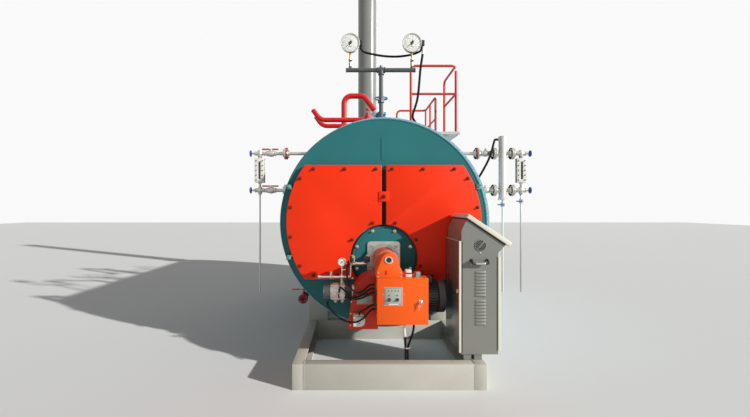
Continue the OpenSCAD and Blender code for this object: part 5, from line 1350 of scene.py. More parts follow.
# White sleeve at the top of one cable and the tie that holds the two together
def makeCableTrim():
    shape = bmesh.new()
    x, z = boxLeft + box["glandsBelow"][0], doorLow.z
    add(shape, tubeShape([(x, glandY, z - 0.016), (x, glandY, z - 0.036), (x - 0.001, glandY + 0.004,
        z - 0.056), (x + 0.003, glandY + 0.011, z - 0.086), (x + 0.006, glandY + 0.020, z - 0.110)], 0.0108,
        20))
    tieZ = 0.290
    band = turnedShape([(0.0205, -0.003), (0.0225, -0.003), (0.0225, 0.003), (0.0205, 0.003)], 40, True)
    add(shape, band, 0, Matrix.Translation((0.146, skidBack - 0.002, tieZ)) @ Matrix.Diagonal((1.0, 0.55, 1.0,
        1.0)))
    add(shape, boxShape((0.140, skidBack - 0.021, tieZ - 0.005), (0.150, skidBack - 0.013, tieZ + 0.005),
        0.0015, 2))
    add(shape, tubeShape([(0.145, skidBack - 0.018, tieZ), (0.156, skidBack - 0.026, tieZ + 0.004),
        (0.170, skidBack - 0.030, tieZ + 0.016)], 0.0018, 8))
    makePiece("cable_tie", shape, ["whiteEnamel"])


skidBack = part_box("skid_front_beam")[1].y + 0.014
makePump()
makeFuelPipes()
makeFittings()
roundCable("burner_cables", "burner_cables_round", 0.0028)
roundCable("gauge_cables", "gauge_cables_round", 0.0040)
makeCableTrim()
print("burner done")


# Pressure gauges on their stand: electric contact gauges with a cable box each and a brass cock
gauge = {"radius": 0.095, "half": 0.308, "depth": 0.052, "figures": ["0", "0.4", "0.8", "1.2", "1.6", "2",
    "2.5"]}
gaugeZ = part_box("pressure_gauges")[1].z - gauge["radius"]
standLow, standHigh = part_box("gauge_stand")
gaugeY = (standLow.y + standHigh.y) / 2


def makeGauges():
    shape = bmesh.new()
    radius, depth = gauge["radius"], gauge["depth"]
    socketZ = standHigh.z - 0.044 + 0.021 + 0.016
    for way in (-1, 1):
        x = way * gauge["half"]
        addGauge(shape, (x, gaugeY + depth / 2, gaugeZ), radius, depth, 0, 6, gauge["figures"], 135, 2)
        # cable box with its lid and gland
        low, high = (x + radius - 0.010, gaugeY - 0.020, gaugeZ - 0.032), (x + radius + 0.030, gaugeY + 0.020,
            gaugeZ + 0.028)
        add(shape, boxShape(low, high, 0.004, 3), 5)
        add(shape, boxShape((low[0] + 0.013, low[1] - 0.0015, low[2] + 0.003),
            (high[0] - 0.002, low[1], high[2] - 0.003), 0.0008, 1), 5)
        for z in (low[2] + 0.008, high[2] - 0.008):
            add(shape, screwShape(0.0026), 6, frontward((high[0] - 0.010, low[1] - 0.0015, z)))
        # square of the case, brass cock with its tee handle, and the nuts over and under it
        add(shape, boxShape((x - 0.011, gaugeY - 0.011, gaugeZ - radius - 0.014),
            (x + 0.011, gaugeY + 0.011, gaugeZ - radius + 0.006), 0.002, 2), 7)
        add(shape, barShape((x, gaugeY, socketZ), (x, gaugeY, gaugeZ - radius + 0.002), 0.010), 7)
        for z, wide, height in ((0.006, 0.0150, 0.012), (0.020, 0.0175, 0.020), (0.066, 0.0150, 0.014)):
            put(shape, hexShape(wide, height), 7, upward, (x, gaugeY, socketZ + z))
        plug = turnedShape([(0, -0.026), (0.009, -0.026), (0.011, -0.022), (0.015, -0.008), (0.015, 0.008),
            (0.009, 0.022), (0.006, 0.030), (0, 0.030)], 32)
        put(shape, plug, 7, forward, (x, gaugeY, socketZ + 0.052))
        add(shape, boxShape((x - 0.022, gaugeY - 0.036, socketZ + 0.0475), (x + 0.022, gaugeY - 0.028,
            socketZ + 0.0565), 0.003, 3), 7)
    makePiece("pressure_gauges_dressed", shape, ["gaugeCase", "dialWhite", "inkBlack", "clearGlass",
        "inkGrey", "blackPlastic", "zincBolt", "brass"], hides=["pressure_gauges"])


# Stand: threaded tees and sockets over the pipe, and the weld at its foot
def makeStand():
    shape = bmesh.new()
    radius, bar = 0.021, standHigh.z - 0.044
    add(shape, barShape((-0.036, gaugeY, bar), (0.036, gaugeY, bar), radius + 0.006, 0.003))
    for x in (-0.038, 0.038):
        put(shape, turnedShape([(radius, -0.005), (radius + 0.009, -0.004), (radius + 0.010, 0.0),
            (radius + 0.009, 0.004), (radius, 0.005)], 40, True), 0, rightward, (x, gaugeY, bar))
    add(shape, barShape((0, gaugeY, bar - 0.044), (0, gaugeY, bar), radius + 0.006, 0.003))
    add(shape, turnedShape([(radius, -0.005), (radius + 0.009, -0.004), (radius + 0.010, 0.0),
        (radius + 0.009, 0.004), (radius, 0.005)], 40, True), 0, Matrix.Translation((0, gaugeY, bar - 0.044)))
    put(shape, hexShape(0.017, 0.018), 0, upward, (0, gaugeY, bar + 0.024))
    for way in (-1, 1):
        add(shape, barShape((way * gauge["half"], gaugeY, bar + 0.010), (way * gauge["half"], gaugeY,
            bar + 0.034), 0.016, 0.002))
        x = way * (gauge["half"] + 0.034)
        add(shape, barShape((x - 0.010, gaugeY, bar), (x + 0.002, gaugeY, bar), radius + 0.002, 0.003))
    put(shape, hexShape(0.034, 0.030), 0, upward, (0, gaugeY, bar - 0.330))
    ring = turnedShape([(radius, 0.0), (radius + 0.012, 0.0), (radius + 0.008, 0.008), (radius, 0.013)], 40,
        True)
    add(shape, ring, 0, Matrix.Translation((0, gaugeY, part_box("gauge_stand")[0].z + 0.052)))
    makePiece("gauge_stand_fittings", shape, ["darkPipe"])


makeGauges()
makeStand()


# Water level gauges: flange bolts, ball valves, flat glasses and cocks
level = {
    "pipe": 0.017, "flange": 0.058, "thick": 0.014, "bolts": 4, "plate": 0.048, "deep": 0.026, "glass": 0.244,
    "window": 0.011, "leftX": -1.212, "rightX": 1.400, "columnX": 1.216, "columnRadius": 0.038,
}
columnX = level["columnX"]
levelTop = (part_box("cock_wheel_left_top")[0].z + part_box("cock_wheel_left_top")[1].z) / 2
levelLow = (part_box("cock_wheel_left_low")[0].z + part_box("cock_wheel_left_low")[1].z) / 2


def addFlangePair(shape, x, z, red):
    radius, thick = level["flange"], level["thick"]
    gasket = turnedShape([(0.018, -thick * 0.3), (radius - 0.012, -thick * 0.3), (radius - 0.012, 0.002),
        (0.018, 0.002)], 48, True)
    put(shape, gasket, 2, rightward, (x, gaugeY, z))
    for side, start in ((-1, -thick - 0.001), (1, 0.0)):
        rim = turnedShape([(0.017, 0.0), (radius - 0.001, 0.0), (radius + 0.0006, 0.0016),
            (radius + 0.0006, thick - 0.0016), (radius - 0.001, thick), (0.017, thick)], 64, True)
        put(shape, rim, 3 if side == red else 0, rightward, (x + start, gaugeY, z))
    for start, way in ((-thick - 0.001, leftward), (thick, rightward)):
        put(shape, turnedShape([(0.017, 0.0), (0.030, 0.0), (0.024, 0.008), (0.0225, 0.020), (0.019, 0.022),
            (0.017, 0.022)], 40, True), 0, way, (x + start, gaugeY, z))
        for i in range(level["bolts"]):
            turn = math.radians(45 + 90 * i)
            place = (x + start, gaugeY + 0.043 * math.cos(turn), z + 0.043 * math.sin(turn))
            put(shape, hexShape(0.0095, 0.008), 1, way, place)
            add(shape, barShape(place, Vector(place) + Vector(way) * 0.014, 0.0052, 0.0008, 16), 1)


def addBallValve(shape, x, z, lever):
    put(shape, turnedShape([(0.017, -0.050), (0.0235, -0.050), (0.0235, -0.034), (0.026, -0.030),
        (0.031, -0.014), (0.0325, 0.0), (0.031, 0.014), (0.026, 0.030), (0.0235, 0.034), (0.0235, 0.050),
        (0.017, 0.050)], 40, True), 0, rightward, (x, gaugeY, z))
    for start in (-0.048, 0.030):
        put(shape, hexShape(0.0285, 0.018), 0, rightward, (x + start, gaugeY, z))
    add(shape, barShape((x, gaugeY, z + 0.024), (x, gaugeY, z + 0.036), 0.014, 0.002), 0)
    add(shape, barShape((x, gaugeY, z + 0.030), (x, gaugeY, z + 0.049), 0.006, 0.001), 1)
    put(shape, hexShape(0.0105, 0.006), 1, upward, (x, gaugeY, z + 0.044))
    if lever:
        # steel strip over the stem with a red sleeve on each end
        add(shape, boxShape((x - 0.090, gaugeY - 0.0095, z + 0.0395), (x + 0.072, gaugeY + 0.0095,
            z + 0.0455), 0.001, 2), 1)
        for near, far in ((-0.0905, -0.014), (0.014, 0.073)):
            add(shape, boxShape((x + near, gaugeY - 0.0125, z + 0.0355), (x + far, gaugeY + 0.0125,
                z + 0.0495), 0.004, 3), 3)


def makeLevelPipes():
    for name, pairs, valves in (("level_pipes_left", ((-0.950, 1),), (-1.100,)),
            ("level_pipes_right", ((0.960, -1), (1.130, 0), (1.310, 0)), (1.044,))):
        shape = bmesh.new()
        for z in (levelTop, levelLow):
            for x, red in pairs:
                addFlangePair(shape, x, z, red if z == levelTop else 0)
            for x in valves:
                addBallValve(shape, x, z, x < 0)
        makePiece(name + "_fittings", shape, ["paleSteel", "zincBolt", "gasket", "sleeveRed"])


def makeLevelGlass(node, x, way):
    shape = bmesh.new()
    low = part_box(node)[0]
    middle, half = (levelTop + levelLow) / 2 + 0.014, level["glass"] / 2
    # cocks: tee bodies with their nuts and packing glands
    for z in (levelTop, levelLow):
        add(shape, turnedShape([(0, -0.034), (0.018, -0.034), (0.022, -0.030), (0.022, -0.016),
            (0.026, -0.006), (0.026, 0.006), (0.022, 0.016), (0.022, 0.030), (0.018, 0.034), (0, 0.034)], 40),
            1, Matrix.Translation((x, gaugeY, z)))
        add(shape, barShape((x - 0.052, gaugeY, z), (x + 0.052, gaugeY, z), 0.019, 0.002), 1)
        put(shape, hexShape(0.025, 0.014), 1, rightward, (x - 0.050, gaugeY, z))
        put(shape, hexShape(0.025, 0.014), 1, rightward, (x + 0.036, gaugeY, z))
        add(shape, barShape((x + way * 0.030, gaugeY, z), (x + way * 0.106, gaugeY, z), 0.006, 0.001), 2)
        put(shape, hexShape(0.0125, 0.016), 2, (way, 0, 0), (x + way * 0.052, gaugeY, z))
    # plug at the top of the upper cock, and the nuts towards the glass
    put(shape, hexShape(0.020, 0.012), 2, upward, (x, gaugeY, levelTop + 0.022))
    add(shape, barShape((x, gaugeY, levelLow), (x, gaugeY, levelTop), 0.010), 1)
    for z in (middle + half, levelTop - 0.048):
        put(shape, hexShape(0.0175, 0.014), 2, upward, (x, gaugeY, z))
    put(shape, hexShape(0.0175, 0.014), 2, upward, (x, gaugeY, middle - half - 0.014))
    # dark body between a front and a rear frame, with studs, and the glass behind its slot
    plate, deep, window = level["plate"], level["deep"], level["window"]
    add(shape, boxShape((x - plate + 0.004, gaugeY - deep + 0.012, middle - half + 0.001),
        (x + plate - 0.004, gaugeY + deep - 0.010, middle + half - 0.001), 0.002, 2), 3)
    add(shape, boxShape((x - plate, gaugeY + deep - 0.0105, middle - half), (x + plate, gaugeY + deep,
        middle + half), 0.003, 2), 0)
    front = gaugeY - deep
    slot = half - 0.034
    frameShape = prismShape([(x - plate, middle - half), (x + plate, middle - half),
        (x + plate, middle + half), (x - plate, middle + half)], front, front + 0.0125)
    face = min(frameShape.faces, key=lambda face: face.calc_center_median().y)
    bmesh.ops.inset_region(frameShape, faces=[face], thickness=plate - window - 0.004, use_even_offset=True)
    for vert in face.verts:
        vert.co.x = x + (window if vert.co.x > x else -window)
        vert.co.z = middle + (slot if vert.co.z > middle else -slot)
    grown = bmesh.ops.extrude_face_region(frameShape, geom=[face])["geom"]
    floor = [item for item in grown if isinstance(item, bmesh.types.BMVert)]
    bmesh.ops.translate(frameShape, verts=floor, vec=(0, 0.008, 0))
    if face.is_valid:
        bmesh.ops.delete(frameShape, geom=[face], context="FACES_ONLY")
    bmesh.ops.recalc_face_normals(frameShape, faces=frameShape.faces)
    bevelEdges(frameShape, sharpEdges(frameShape), 0.0015, 2)
    add(shape, frameShape, 0)
    add(shape, boxShape((x - window + 0.0004, front + 0.0055, middle - slot + 0.0004),
        (x + window - 0.0004, front + 0.0078, middle + slot - 0.0004), 0.0005, 1), 4)
    for column in (-0.032, 0.032):
        for i in range(5):
            z = middle - half + 0.026 + (level["glass"] - 0.052) * i / 4
            add(shape, hexShape(0.0066, 0.006), 3, frontward((x + column, front, z)))
            add(shape, barShape((x + column, front - 0.006, z), (x + column, front - 0.011, z), 0.0040,
                0.0008, 16), 2)
            put(shape, hexShape(0.0082, 0.006), 3, backward, (x + column, gaugeY + deep, z))
    # drain pipe
    add(shape, barShape((x, gaugeY, low.z), (x, gaugeY, levelLow - 0.030), 0.008, 0.001), 1)
    put(shape, hexShape(0.0145, 0.014), 2, (0, 0, -1), (x, gaugeY, levelLow - 0.034))
    if node == "level_glass_right":
        leverZ = (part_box("glass_drain_lever")[0].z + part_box("glass_drain_lever")[1].z) / 2
        put(shape, hexShape(0.018, 0.044), 2, upward, (x, gaugeY, leverZ - 0.020))
        add(shape, barShape((x, gaugeY, leverZ), (x, gaugeY - 0.034, leverZ), 0.005, 0.001, 16), 2)
    makePiece(node + "_dressed", shape, ["whiteEnamel", "paleSteel", "zincBolt", "gasket", "glassDark"],
        hides=[node])


# Electrode column: weld rings, flanges with bolts, and the head that the electrodes hang from
def makeColumn():
    shape = bmesh.new()
    low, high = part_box("level_column")
    radius = level["columnRadius"]
    foot = levelLow - 0.096
    column = Matrix.Translation((columnX, gaugeY, 0))
    add(shape, turnedShape([(0, foot), (radius + 0.004, foot), (radius + 0.006, foot + 0.002),
        (radius + 0.006, foot + 0.014), (radius + 0.003, foot + 0.018), (radius, foot + 0.020),
        (radius, high.z - 0.006), (radius - 0.002, high.z - 0.002), (radius - 0.006, high.z - 0.001),
        (0, high.z - 0.001)], 64), 0, column)
    # weld of the top plate, bushings of the electrodes and the gland of their lead
    add(shape, turnedShape([(radius - 0.002, high.z - 0.017), (radius + 0.0025, high.z - 0.015),
        (radius + 0.0025, high.z - 0.011), (radius - 0.002, high.z - 0.009)], 64, True), 0, column)
    for i in range(4):
        turn = math.tau * (i + 0.5) / 4
        place = (columnX + 0.019 * math.cos(turn), gaugeY + 0.019 * math.sin(turn), high.z - 0.002)
        put(shape, hexShape(0.0068, 0.005), 1, upward, place)
    glandX, glandZ = columnX - radius, high.z - 0.034
    add(shape, barShape((glandX + 0.004, gaugeY, glandZ), (glandX - 0.005, gaugeY, glandZ), 0.0150, 0.001), 0)
    put(shape, hexShape(0.0130, 0.0062), 1, leftward, (glandX - 0.005, gaugeY, glandZ))
    put(shape, turnedShape([(0.0085, 0.0), (0.0118, 0.0), (0.0118, 0.006), (0.0105, 0.0098),
        (0.0085, 0.0098)], 32, True), 2, leftward, (glandX - 0.0112, gaugeY, glandZ))
    # drain pipe with its cock
    add(shape, barShape((columnX, gaugeY, low.z), (columnX, gaugeY, foot + 0.001), 0.009, 0.001, 24), 0)
    leverZ = (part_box("column_drain_lever")[0].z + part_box("column_drain_lever")[1].z) / 2
    add(shape, barShape((columnX, gaugeY, leverZ), (columnX, gaugeY - 0.030, leverZ), 0.005, 0.001, 16), 1)
    for z in (levelTop, levelLow):
        for way in (-1, 1):
            place = (columnX + way * (radius - 0.004), gaugeY, z)
            put(shape, turnedShape([(0.015, 0.0), (0.026, 0.0), (0.0235, 0.006), (0.018, 0.010),
                (0.015, 0.010)], 40, True), 0, (way, 0, 0), place)
    put(shape, hexShape(0.0195, 0.045), 1, upward, (columnX, gaugeY, levelLow - 0.1645))
    makePiece("level_column_dressed", shape, ["whiteEnamel", "zincBolt", "blackPlastic"],
        hides=["level_column"])


# Glands over the cables of the gauges, a white sleeve on the conduit, and the grommets in the jacket
def makeGaugeCableTrim():
    shape = bmesh.new()
    boxLow = gaugeZ - 0.032
    across = gauge["half"] + gauge["radius"]
    for x in (-gauge["half"] + gauge["radius"] + 0.010, across + 0.001):
        put(shape, turnedShape([(0.0084, 0.0), (0.0115, 0.0), (0.0115, 0.006), (0.0098, 0.009),
            (0.0084, 0.009)], 32, True), 0, (0, 0, -1), (x, gaugeY, boxLow))
    sleeve = [(across + 0.0195, gaugeY, boxLow - 0.002), (across + 0.0195, gaugeY, boxLow - 0.026),
        (across + 0.0170, gaugeY, boxLow - 0.050), (across + 0.0125, gaugeY, boxLow - 0.078)]
    add(shape, tubeShape(bentPath(sleeve, 0.008, 4), 0.0132, 24), 1)
    grommet = [(0.0084, -0.010), (0.019, -0.010), (0.019, 0.002), (0.0165, 0.006), (0.0125, 0.0075),
        (0.0110, 0.014), (0.0096, 0.015), (0.0084, 0.015)]
    conduit = max(islands("gauge_cables"), key=lambda ends: ends[1].z - ends[0].z)
    add(shape, turnedShape(grommet, 40, True), 0, Matrix.Translation((across - 0.053, gaugeY - 0.010,
        conduit[0].z)))
    foot = Vector((0, gaugeY, 1.655))
    foot.x = jacketMiddle + math.sqrt(jacketRadius ** 2 - (foot.z - jacketHigh.z + jacketRadius) ** 2)
    out = Vector((foot.x - jacketMiddle, 0, foot.z - jacketHigh.z + jacketRadius)).normalized()
    put(shape, turnedShape(grommet, 40, True), 0, out, foot)
    makePiece("gauge_cable_glands", shape, ["blackPlastic", "whiteEnamel"])


makeLevelPipes()
makeLevelGlass("level_glass_left", level["leftX"], -1)
makeLevelGlass("level_glass_right", level["rightX"], 1)
makeColumn()
makeGaugeCableTrim()
print("instruments done")


# Valves on top: pale flanges with their bolts, packing nut, and the caps of the safety valves
topWork = {"flange": 0.092, "boltRing": 0.072, "bolts": 8, "ventX": -0.107, "belowWheel": 0.292,
    "foot": 0.150, "lean": (-0.6, 0, 0.8), "branch": 0.120}
ventOut = topWork["ventX"] - jacketMiddle
jacketCrown = jacketHigh.z - jacketRadius + math.sqrt(jacketRadius ** 2 - ventOut ** 2)


def addFlangeBolts(shape, place, way, ring, count, radius, height, finish, start=0.5):
    turn = toward(way, place)
    for i in range(count):
        angle = math.tau * (i + start) / count
        add(shape, boltShape(radius, height), finish, turn @ Matrix.Translation((ring * math.cos(angle),
            ring * math.sin(angle), 0)))


def makeTopFittings():
    shape = bmesh.new()
    wheelLow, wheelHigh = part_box("steam_valve_wheel")
    x, y = (wheelLow.x + wheelHigh.x) / 2, (wheelLow.y + wheelHigh.y) / 2
    valveZ = (wheelLow.z + wheelHigh.z) / 2 - topWork["belowWheel"]
    flangeZ = valveZ - topWork["foot"]
    radius = topWork["flange"]
    for z0, z1 in ((-0.0225, -0.0015), (0.0005, 0.0225)):
        add(shape, turnedShape([(0.030, z0), (radius - 0.002, z0), (radius + 0.0008, z0 + 0.002),
            (radius + 0.0008, z1 - 0.002), (radius - 0.002, z1), (0.030, z1)], 72, True), 0,
            Matrix.Translation((x, y, flangeZ)))
    addFlangeBolts(shape, (x, y, flangeZ + 0.0225), upward, topWork["boltRing"], topWork["bolts"], 0.0105,
        0.011, 1)
    addFlangeBolts(shape, (x, y, flangeZ - 0.0225), (0, 0, -1), topWork["boltRing"], topWork["bolts"], 0.0105,
        0.011, 1)
    # bonnet bolts and the gland follower
    addFlangeBolts(shape, (x, y, valveZ + 0.094), upward, 0.056, 6, 0.0085, 0.009, 1)
    put(shape, hexShape(0.020, 0.016), 1, upward, (x, y, valveZ + 0.150))
    put(shape, hexShape(0.0165, 0.010), 1, upward, (x, y, wheelHigh.z - 0.009))
    # pale flange between the valve's leaning branch and the red pipe
    lean = Vector(topWork["lean"])
    branch = Vector((x, y, valveZ)) + lean * topWork["branch"]
    put(shape, turnedShape([(0.040, -0.022), (0.0755, -0.022), (0.077, -0.019), (0.077, -0.003),
        (0.0755, -0.001), (0.040, -0.001)], 64, True), 0, lean, branch)
    put(shape, turnedShape([(0.038, 0.0), (0.0755, 0.0), (0.077, 0.002), (0.077, 0.019), (0.0755, 0.021),
        (0.038, 0.021)], 64, True), 0, lean, branch)
    addFlangeBolts(shape, branch + lean * 0.021, lean, 0.059, 4, 0.0085, 0.009, 1)
    addFlangeBolts(shape, branch - lean * 0.022, -lean, 0.059, 4, 0.0085, 0.009, 1)
    makePiece("steam_valve_flanges", shape, ["whiteEnamel", "zincBolt"])

    shape = bmesh.new()
    # safety valves: cap and flange bolts
    x = topWork["ventX"]
    for low, high in islands("safety_valves"):
        y = (low.y + high.y) / 2
        add(shape, turnedShape([(0, 0), (0.0245, 0), (0.027, 0.003), (0.027, 0.012), (0.022, 0.018),
            (0.010, 0.021), (0, 0.021)], 40), 0, Matrix.Translation((x, y, high.z - 0.020)))
        addFlangeBolts(shape, (x, y, jacketCrown + 0.060), upward, 0.048, 4, 0.0075, 0.008, 1)
    makePiece("safety_valve_fittings", shape, ["pipeRed", "zincBolt"])


# Blowdown valve: washers and nuts of its flange, neck of the stem, sleeve of the lever
blowdown = {"x": -0.857, "z": 0.350, "boltRing": 0.043}


def makeBlowdown():
    shape = bmesh.new()
    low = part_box("blowdown_valve")[0]
    leverLow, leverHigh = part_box("blowdown_lever")
    x, z, ring = blowdown["x"], blowdown["z"], blowdown["boltRing"]
    for i in range(4):
        turn = math.radians(45 + 90 * i)
        place = (x + ring * math.cos(turn), low.y + 0.018, z + ring * math.sin(turn))
        put(shape, turnedShape([(0.0072, 0), (0.0105, 0), (0.0105, 0.0012), (0.0072, 0.0012)], 20, True), 1,
            backward, place)
    y = (leverLow.y + leverHigh.y) / 2
    put(shape, hexShape(0.050, 0.026), 0, backward, (x, y - 0.060, z))
    put(shape, hexShape(0.050, 0.026), 0, backward, (x, y + 0.034, z))
    add(shape, barShape((x, y, z + 0.036), (x, y, z + 0.062), 0.022, 0.003), 0)
    makePiece("blowdown_fittings", shape, ["leverRed", "zincBolt"])
    sleeve = bmesh.new()
    add(sleeve, boxShape((leverLow.x - 0.001, y - 0.0135, leverLow.z - 0.001),
        (leverLow.x + 0.088, y + 0.0135, leverLow.z + 0.0115), 0.004, 3))
    makePiece("blowdown_lever_sleeve", sleeve, ["sleeveRed"], "blowdown_lever")


makeTopFittings()
makeBlowdown()


# Weld beads at the feet of the rails
def makeRailWelds():
    shape = bmesh.new()
    for node in ("guard_rail_front", "guard_rail_rear"):
        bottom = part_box(node)[0].z
        feet = {}
        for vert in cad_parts[node].data.vertices:
            if vert.co.z < bottom + 0.001:
                near = next((key for key in feet if (Vector(key) - vert.co.xy).length < 0.07),
                    tuple(vert.co.xy))
                feet.setdefault(near, []).append(vert.co.xy.copy())
        for spots in feet.values():
            x = (min(spot.x for spot in spots) + max(spot.x for spot in spots)) / 2
            y = (min(spot.y for spot in spots) + max(spot.y for spot in spots)) / 2
            radius = (max(spot.x for spot in spots) - min(spot.x for spot in spots)) / 2
            bead = turnedShape([(radius - 0.002, 0.0), (radius + 0.006, 0.0), (radius + 0.004, 0.004),
                (radius, 0.007), (radius - 0.002, 0.007)], 24, True)
            add(shape, bead, 0, Matrix.Translation((x, y, bottom)))
    makePiece("rail_welds", shape, ["railPaint"])


makeRailWelds()
print("top done")


# Control cabinet: folded sheet with louvres, a round vent, pull handle and dark strips
cabinet = {"edge": 0.003, "left": 0.685, "right": 0.768, "rows": 8, "pitch": 0.0258, "groups": (0.909, 0.683),
    "ventAt": (0.725, 1.106), "ventRadius": 0.046, "handleZ": 0.976, "handleHalf": 0.062, "crestIn": 0.046,
    "crestZ": 1.321, "eaveZ": 1.116}


def makeCabinet():
    easeNode("cabinet_roof", "creamPaint", cabinet["edge"], 3)
    # both side leaves: cream folds round a glossy grey face
    for node, side, body in (("cabinet_panel", -1, "boiler"), ("cabinet_door", 1, "cabinet_door")):
        leaf = nodeShape(node)
        bevelEdges(leaf, sharpEdges(leaf), cabinet["edge"], 3)
        leaf.normal_update()
        for face in leaf.faces:
            if face.normal.x * side > 0.99:
                face.material_index = 1
        makePiece(node + "_eased", leaf, ["creamPaint", "panelGrey"], body, [node])
    shape = bmesh.new()
    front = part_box("cabinet_panel")[0].y
    for top in cabinet["groups"]:
        for i in range(cabinet["rows"]):
            z = top - cabinet["pitch"] * (i + 0.5)
            hood = boxShape((cabinet["left"], front - 0.007, z - 0.009), (cabinet["right"], front + 0.0005,
                z + 0.009), 0)
            for vert in hood.verts:
                if vert.co.z > z and vert.co.y < front - 0.003:
                    vert.co.y = front - 0.0012
            bevelEdges(hood, sharpEdges(hood), 0.0018, 2)
            add(shape, hood, 0)
            # dark strip under each louvre's hood: painted shade in its opening
            add(shape, boxShape((cabinet["left"] + 0.003, front - 0.0058, z - 0.0102),
                (cabinet["right"] - 0.003, front + 0.0003, z - 0.0088), 0), 1)
    x, z = cabinet["ventAt"]
    vent = frontward((x, front, z))
    radius = cabinet["ventRadius"]
    add(shape, turnedShape([(radius - 0.004, 0), (radius, 0), (radius + 0.001, 0.002),
        (radius - 0.001, 0.005), (radius - 0.004, 0.005)], 64, True), 0, vent)
    add(shape, drumShape(radius - 0.003, 0.0012, 0.0002, 48), 3, vent)
    # thin ribs behind one bright bar, and the screw under the vent. The black disc behind the ribs is painted
    # shade inside the vent, and the bright bar across it stands in for a streak of reflection: painted
    # reflection
    for i in range(-3, 4):
        reach = math.sqrt((radius - 0.004) ** 2 - (0.012 * i) ** 2)
        rib = boxShape((-reach, 0.012 * i - 0.0011, 0.0008), (reach, 0.012 * i + 0.0011, 0.0022), 0.0004, 1)
        add(shape, rib, 4, vent @ Matrix.Rotation(math.radians(-43), 4, "Z"))
    bar = boxShape((0.003 - radius, -0.0050, 0.0010), (radius - 0.003, 0.0050, 0.0056), 0.0014, 2)
    add(shape, bar, 0, vent @ Matrix.Rotation(math.radians(47), 4, "Z"))
    add(shape, boltShape(0.006, 0.005), 2, frontward((x, front, z - radius - 0.012)))
    makePiece("cabinet_vents", shape, ["cabinetPaint", "paintedShadeBlack", "zincBolt", "inkBlack", "greyPlastic"])


def makeCabinetFront():
    shape = bmesh.new()
    low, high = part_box("cabinet_panel")
    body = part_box("cabinet_body")
    front, left = low.y, high.x
    # pull handle: black feet that bend down to a bright bar
    x, z, half = left + 0.140, cabinet["handleZ"], cabinet["handleHalf"]
    for side in (-1, 1):
        add(shape, turnedShape([(0, 0), (0.0130, 0), (0.0130, 0.003), (0.0105, 0.007), (0, 0.007)], 32), 0,
            frontward((x + side * half, front, z + 0.012)))
        corners = [(x + side * half, front - 0.001, z + 0.012), (x + side * half, front - 0.034, z + 0.012),
            (x + side * half, front - 0.034, z - 0.010), (x + side * (half - 0.026), front - 0.034,
            z - 0.010)]
        add(shape, tubeShape(bentPath(corners, 0.010, 6), 0.0074, 20), 0)
    add(shape, barShape((x - half + 0.024, front - 0.034, z - 0.010), (x + half - 0.024, front - 0.034,
        z - 0.010), 0.0082, 0.001), 1)
    # dark strip between the housing and its sloping roof
    crest, eave = (left + cabinet["crestIn"], cabinet["crestZ"]), (body[1].x, cabinet["eaveZ"])
    slope = math.atan2(crest[1] - eave[1], eave[0] - crest[0])
    run = math.hypot(eave[0] - crest[0], crest[1] - eave[1])
    strip = boxShape((-0.004, front - 0.002, -0.013), (run, body[1].y, -0.0004), 0.002, 2)
    add(shape, strip, 3, Matrix.Translation((crest[0], 0, crest[1])) @ Matrix.Rotation(slope, 4, "Y"))
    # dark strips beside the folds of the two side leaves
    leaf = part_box("cabinet_door")
    for x, bottom, top in ((left + 0.0002, low.z + 0.004, high.z - 0.004), (leaf[0].x - 0.0082, leaf[0].z,
            leaf[1].z)):
        add(shape, boxShape((x, front - 0.0012, bottom), (x + 0.008, front + 0.002, top), 0.0005, 1), 3)
    # lock of the left panel, its keyhole black for the shade in it: painted shade
    put(shape, turnedShape([(0, 0), (0.0145, 0), (0.0145, 0.003), (0.012, 0.006), (0.0105, 0.0125),
        (0, 0.0125)], 32), 1, leftward, (low.x + 0.012, front + 0.034, 0.740))
    add(shape, boxShape((low.x - 0.0010, front + 0.0325, 0.733), (low.x + 0.001, front + 0.0355, 0.747), 0),
        2)
    makePiece("cabinet_handle", shape, ["blackPlastic", "brightSteel", "paintedShadeBlack", "gasket"])


makeCabinet()
makeCabinetFront()
print("cabinet done")


# Pale floor, soft daylight from the upper right and a pale world
stage = {"size": 30.0, "sunEnergy": 4.1, "sunAngle": 1.2, "sunAim": (-0.80, 0.44, -0.39), "fillEnergy": 0.10,
    "fillAim": (0.7, 0.9, -0.15), "rearEnergy": 0.55, "rearAim": (-0.35, -0.9, -0.25), "worldStrength": 0.17}


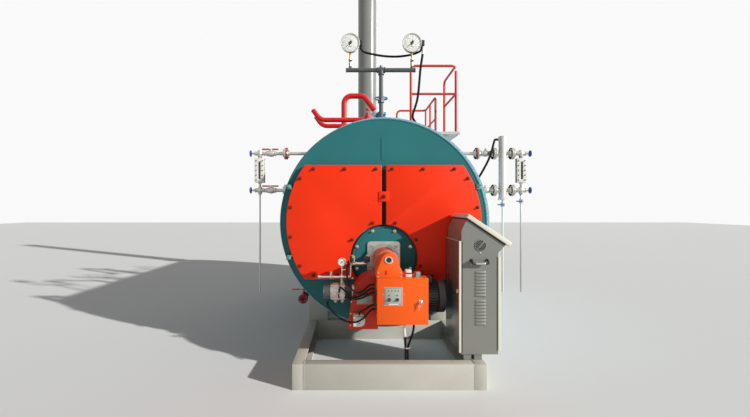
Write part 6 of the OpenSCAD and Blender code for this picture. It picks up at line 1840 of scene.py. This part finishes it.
def makeStage():
    shape = bmesh.new()
    bmesh.ops.create_grid(shape, x_segments=1, y_segments=1, size=stage["size"])
    mesh = bpy.data.meshes.new("floor")
    shape.to_mesh(mesh)
    shape.free()
    material, _, shader = newMaterial("floorPaint")
    shader.inputs["Base Color"].default_value = card(232, 231, 227)
    shader.inputs["Roughness"].default_value = 0.9
    mesh.materials.append(material)
    floor = bpy.data.objects.new("floor", mesh)
    scene.collection.objects.link(floor)


def makeSun(name, energy, angle, aim):
    data = bpy.data.lights.new(name, "SUN")
    data.energy = energy
    data.angle = math.radians(angle)
    sun = bpy.data.objects.new(name, data)
    sun.rotation_euler = Vector(aim).to_track_quat("-Z", "Y").to_euler()
    scene.collection.objects.link(sun)


def makeWorld():
    world = bpy.data.worlds.new("studio")
    world.use_nodes = True
    scene.world = world
    tree = world.node_tree
    tree.nodes.clear()
    output = tree.nodes.new("ShaderNodeOutputWorld")
    light = tree.nodes.new("ShaderNodeBackground")
    light.inputs["Color"].default_value = (0.93, 0.96, 1.0, 1.0)
    light.inputs["Strength"].default_value = stage["worldStrength"]
    seen = tree.nodes.new("ShaderNodeBackground")
    seen.inputs["Color"].default_value = (1.0, 1.0, 1.0, 1.0)
    seen.inputs["Strength"].default_value = 0.95
    path = tree.nodes.new("ShaderNodeLightPath")
    either = math2(tree, "MAXIMUM", path.outputs["Is Camera Ray"], path.outputs["Is Glossy Ray"])
    either = math2(tree, "MAXIMUM", either, path.outputs["Is Transmission Ray"])
    mix = tree.nodes.new("ShaderNodeMixShader")
    tree.links.new(either, mix.inputs[0])
    tree.links.new(light.outputs[0], mix.inputs[1])
    tree.links.new(seen.outputs[0], mix.inputs[2])
    tree.links.new(mix.outputs[0], output.inputs["Surface"])


makeStage()
makeSun("sun", stage["sunEnergy"], stage["sunAngle"], stage["sunAim"])
makeSun("fill", stage["fillEnergy"], 40.0, stage["fillAim"])
makeSun("rear", stage["rearEnergy"], 40.0, stage["rearAim"])
makeWorld()
print("stage done")
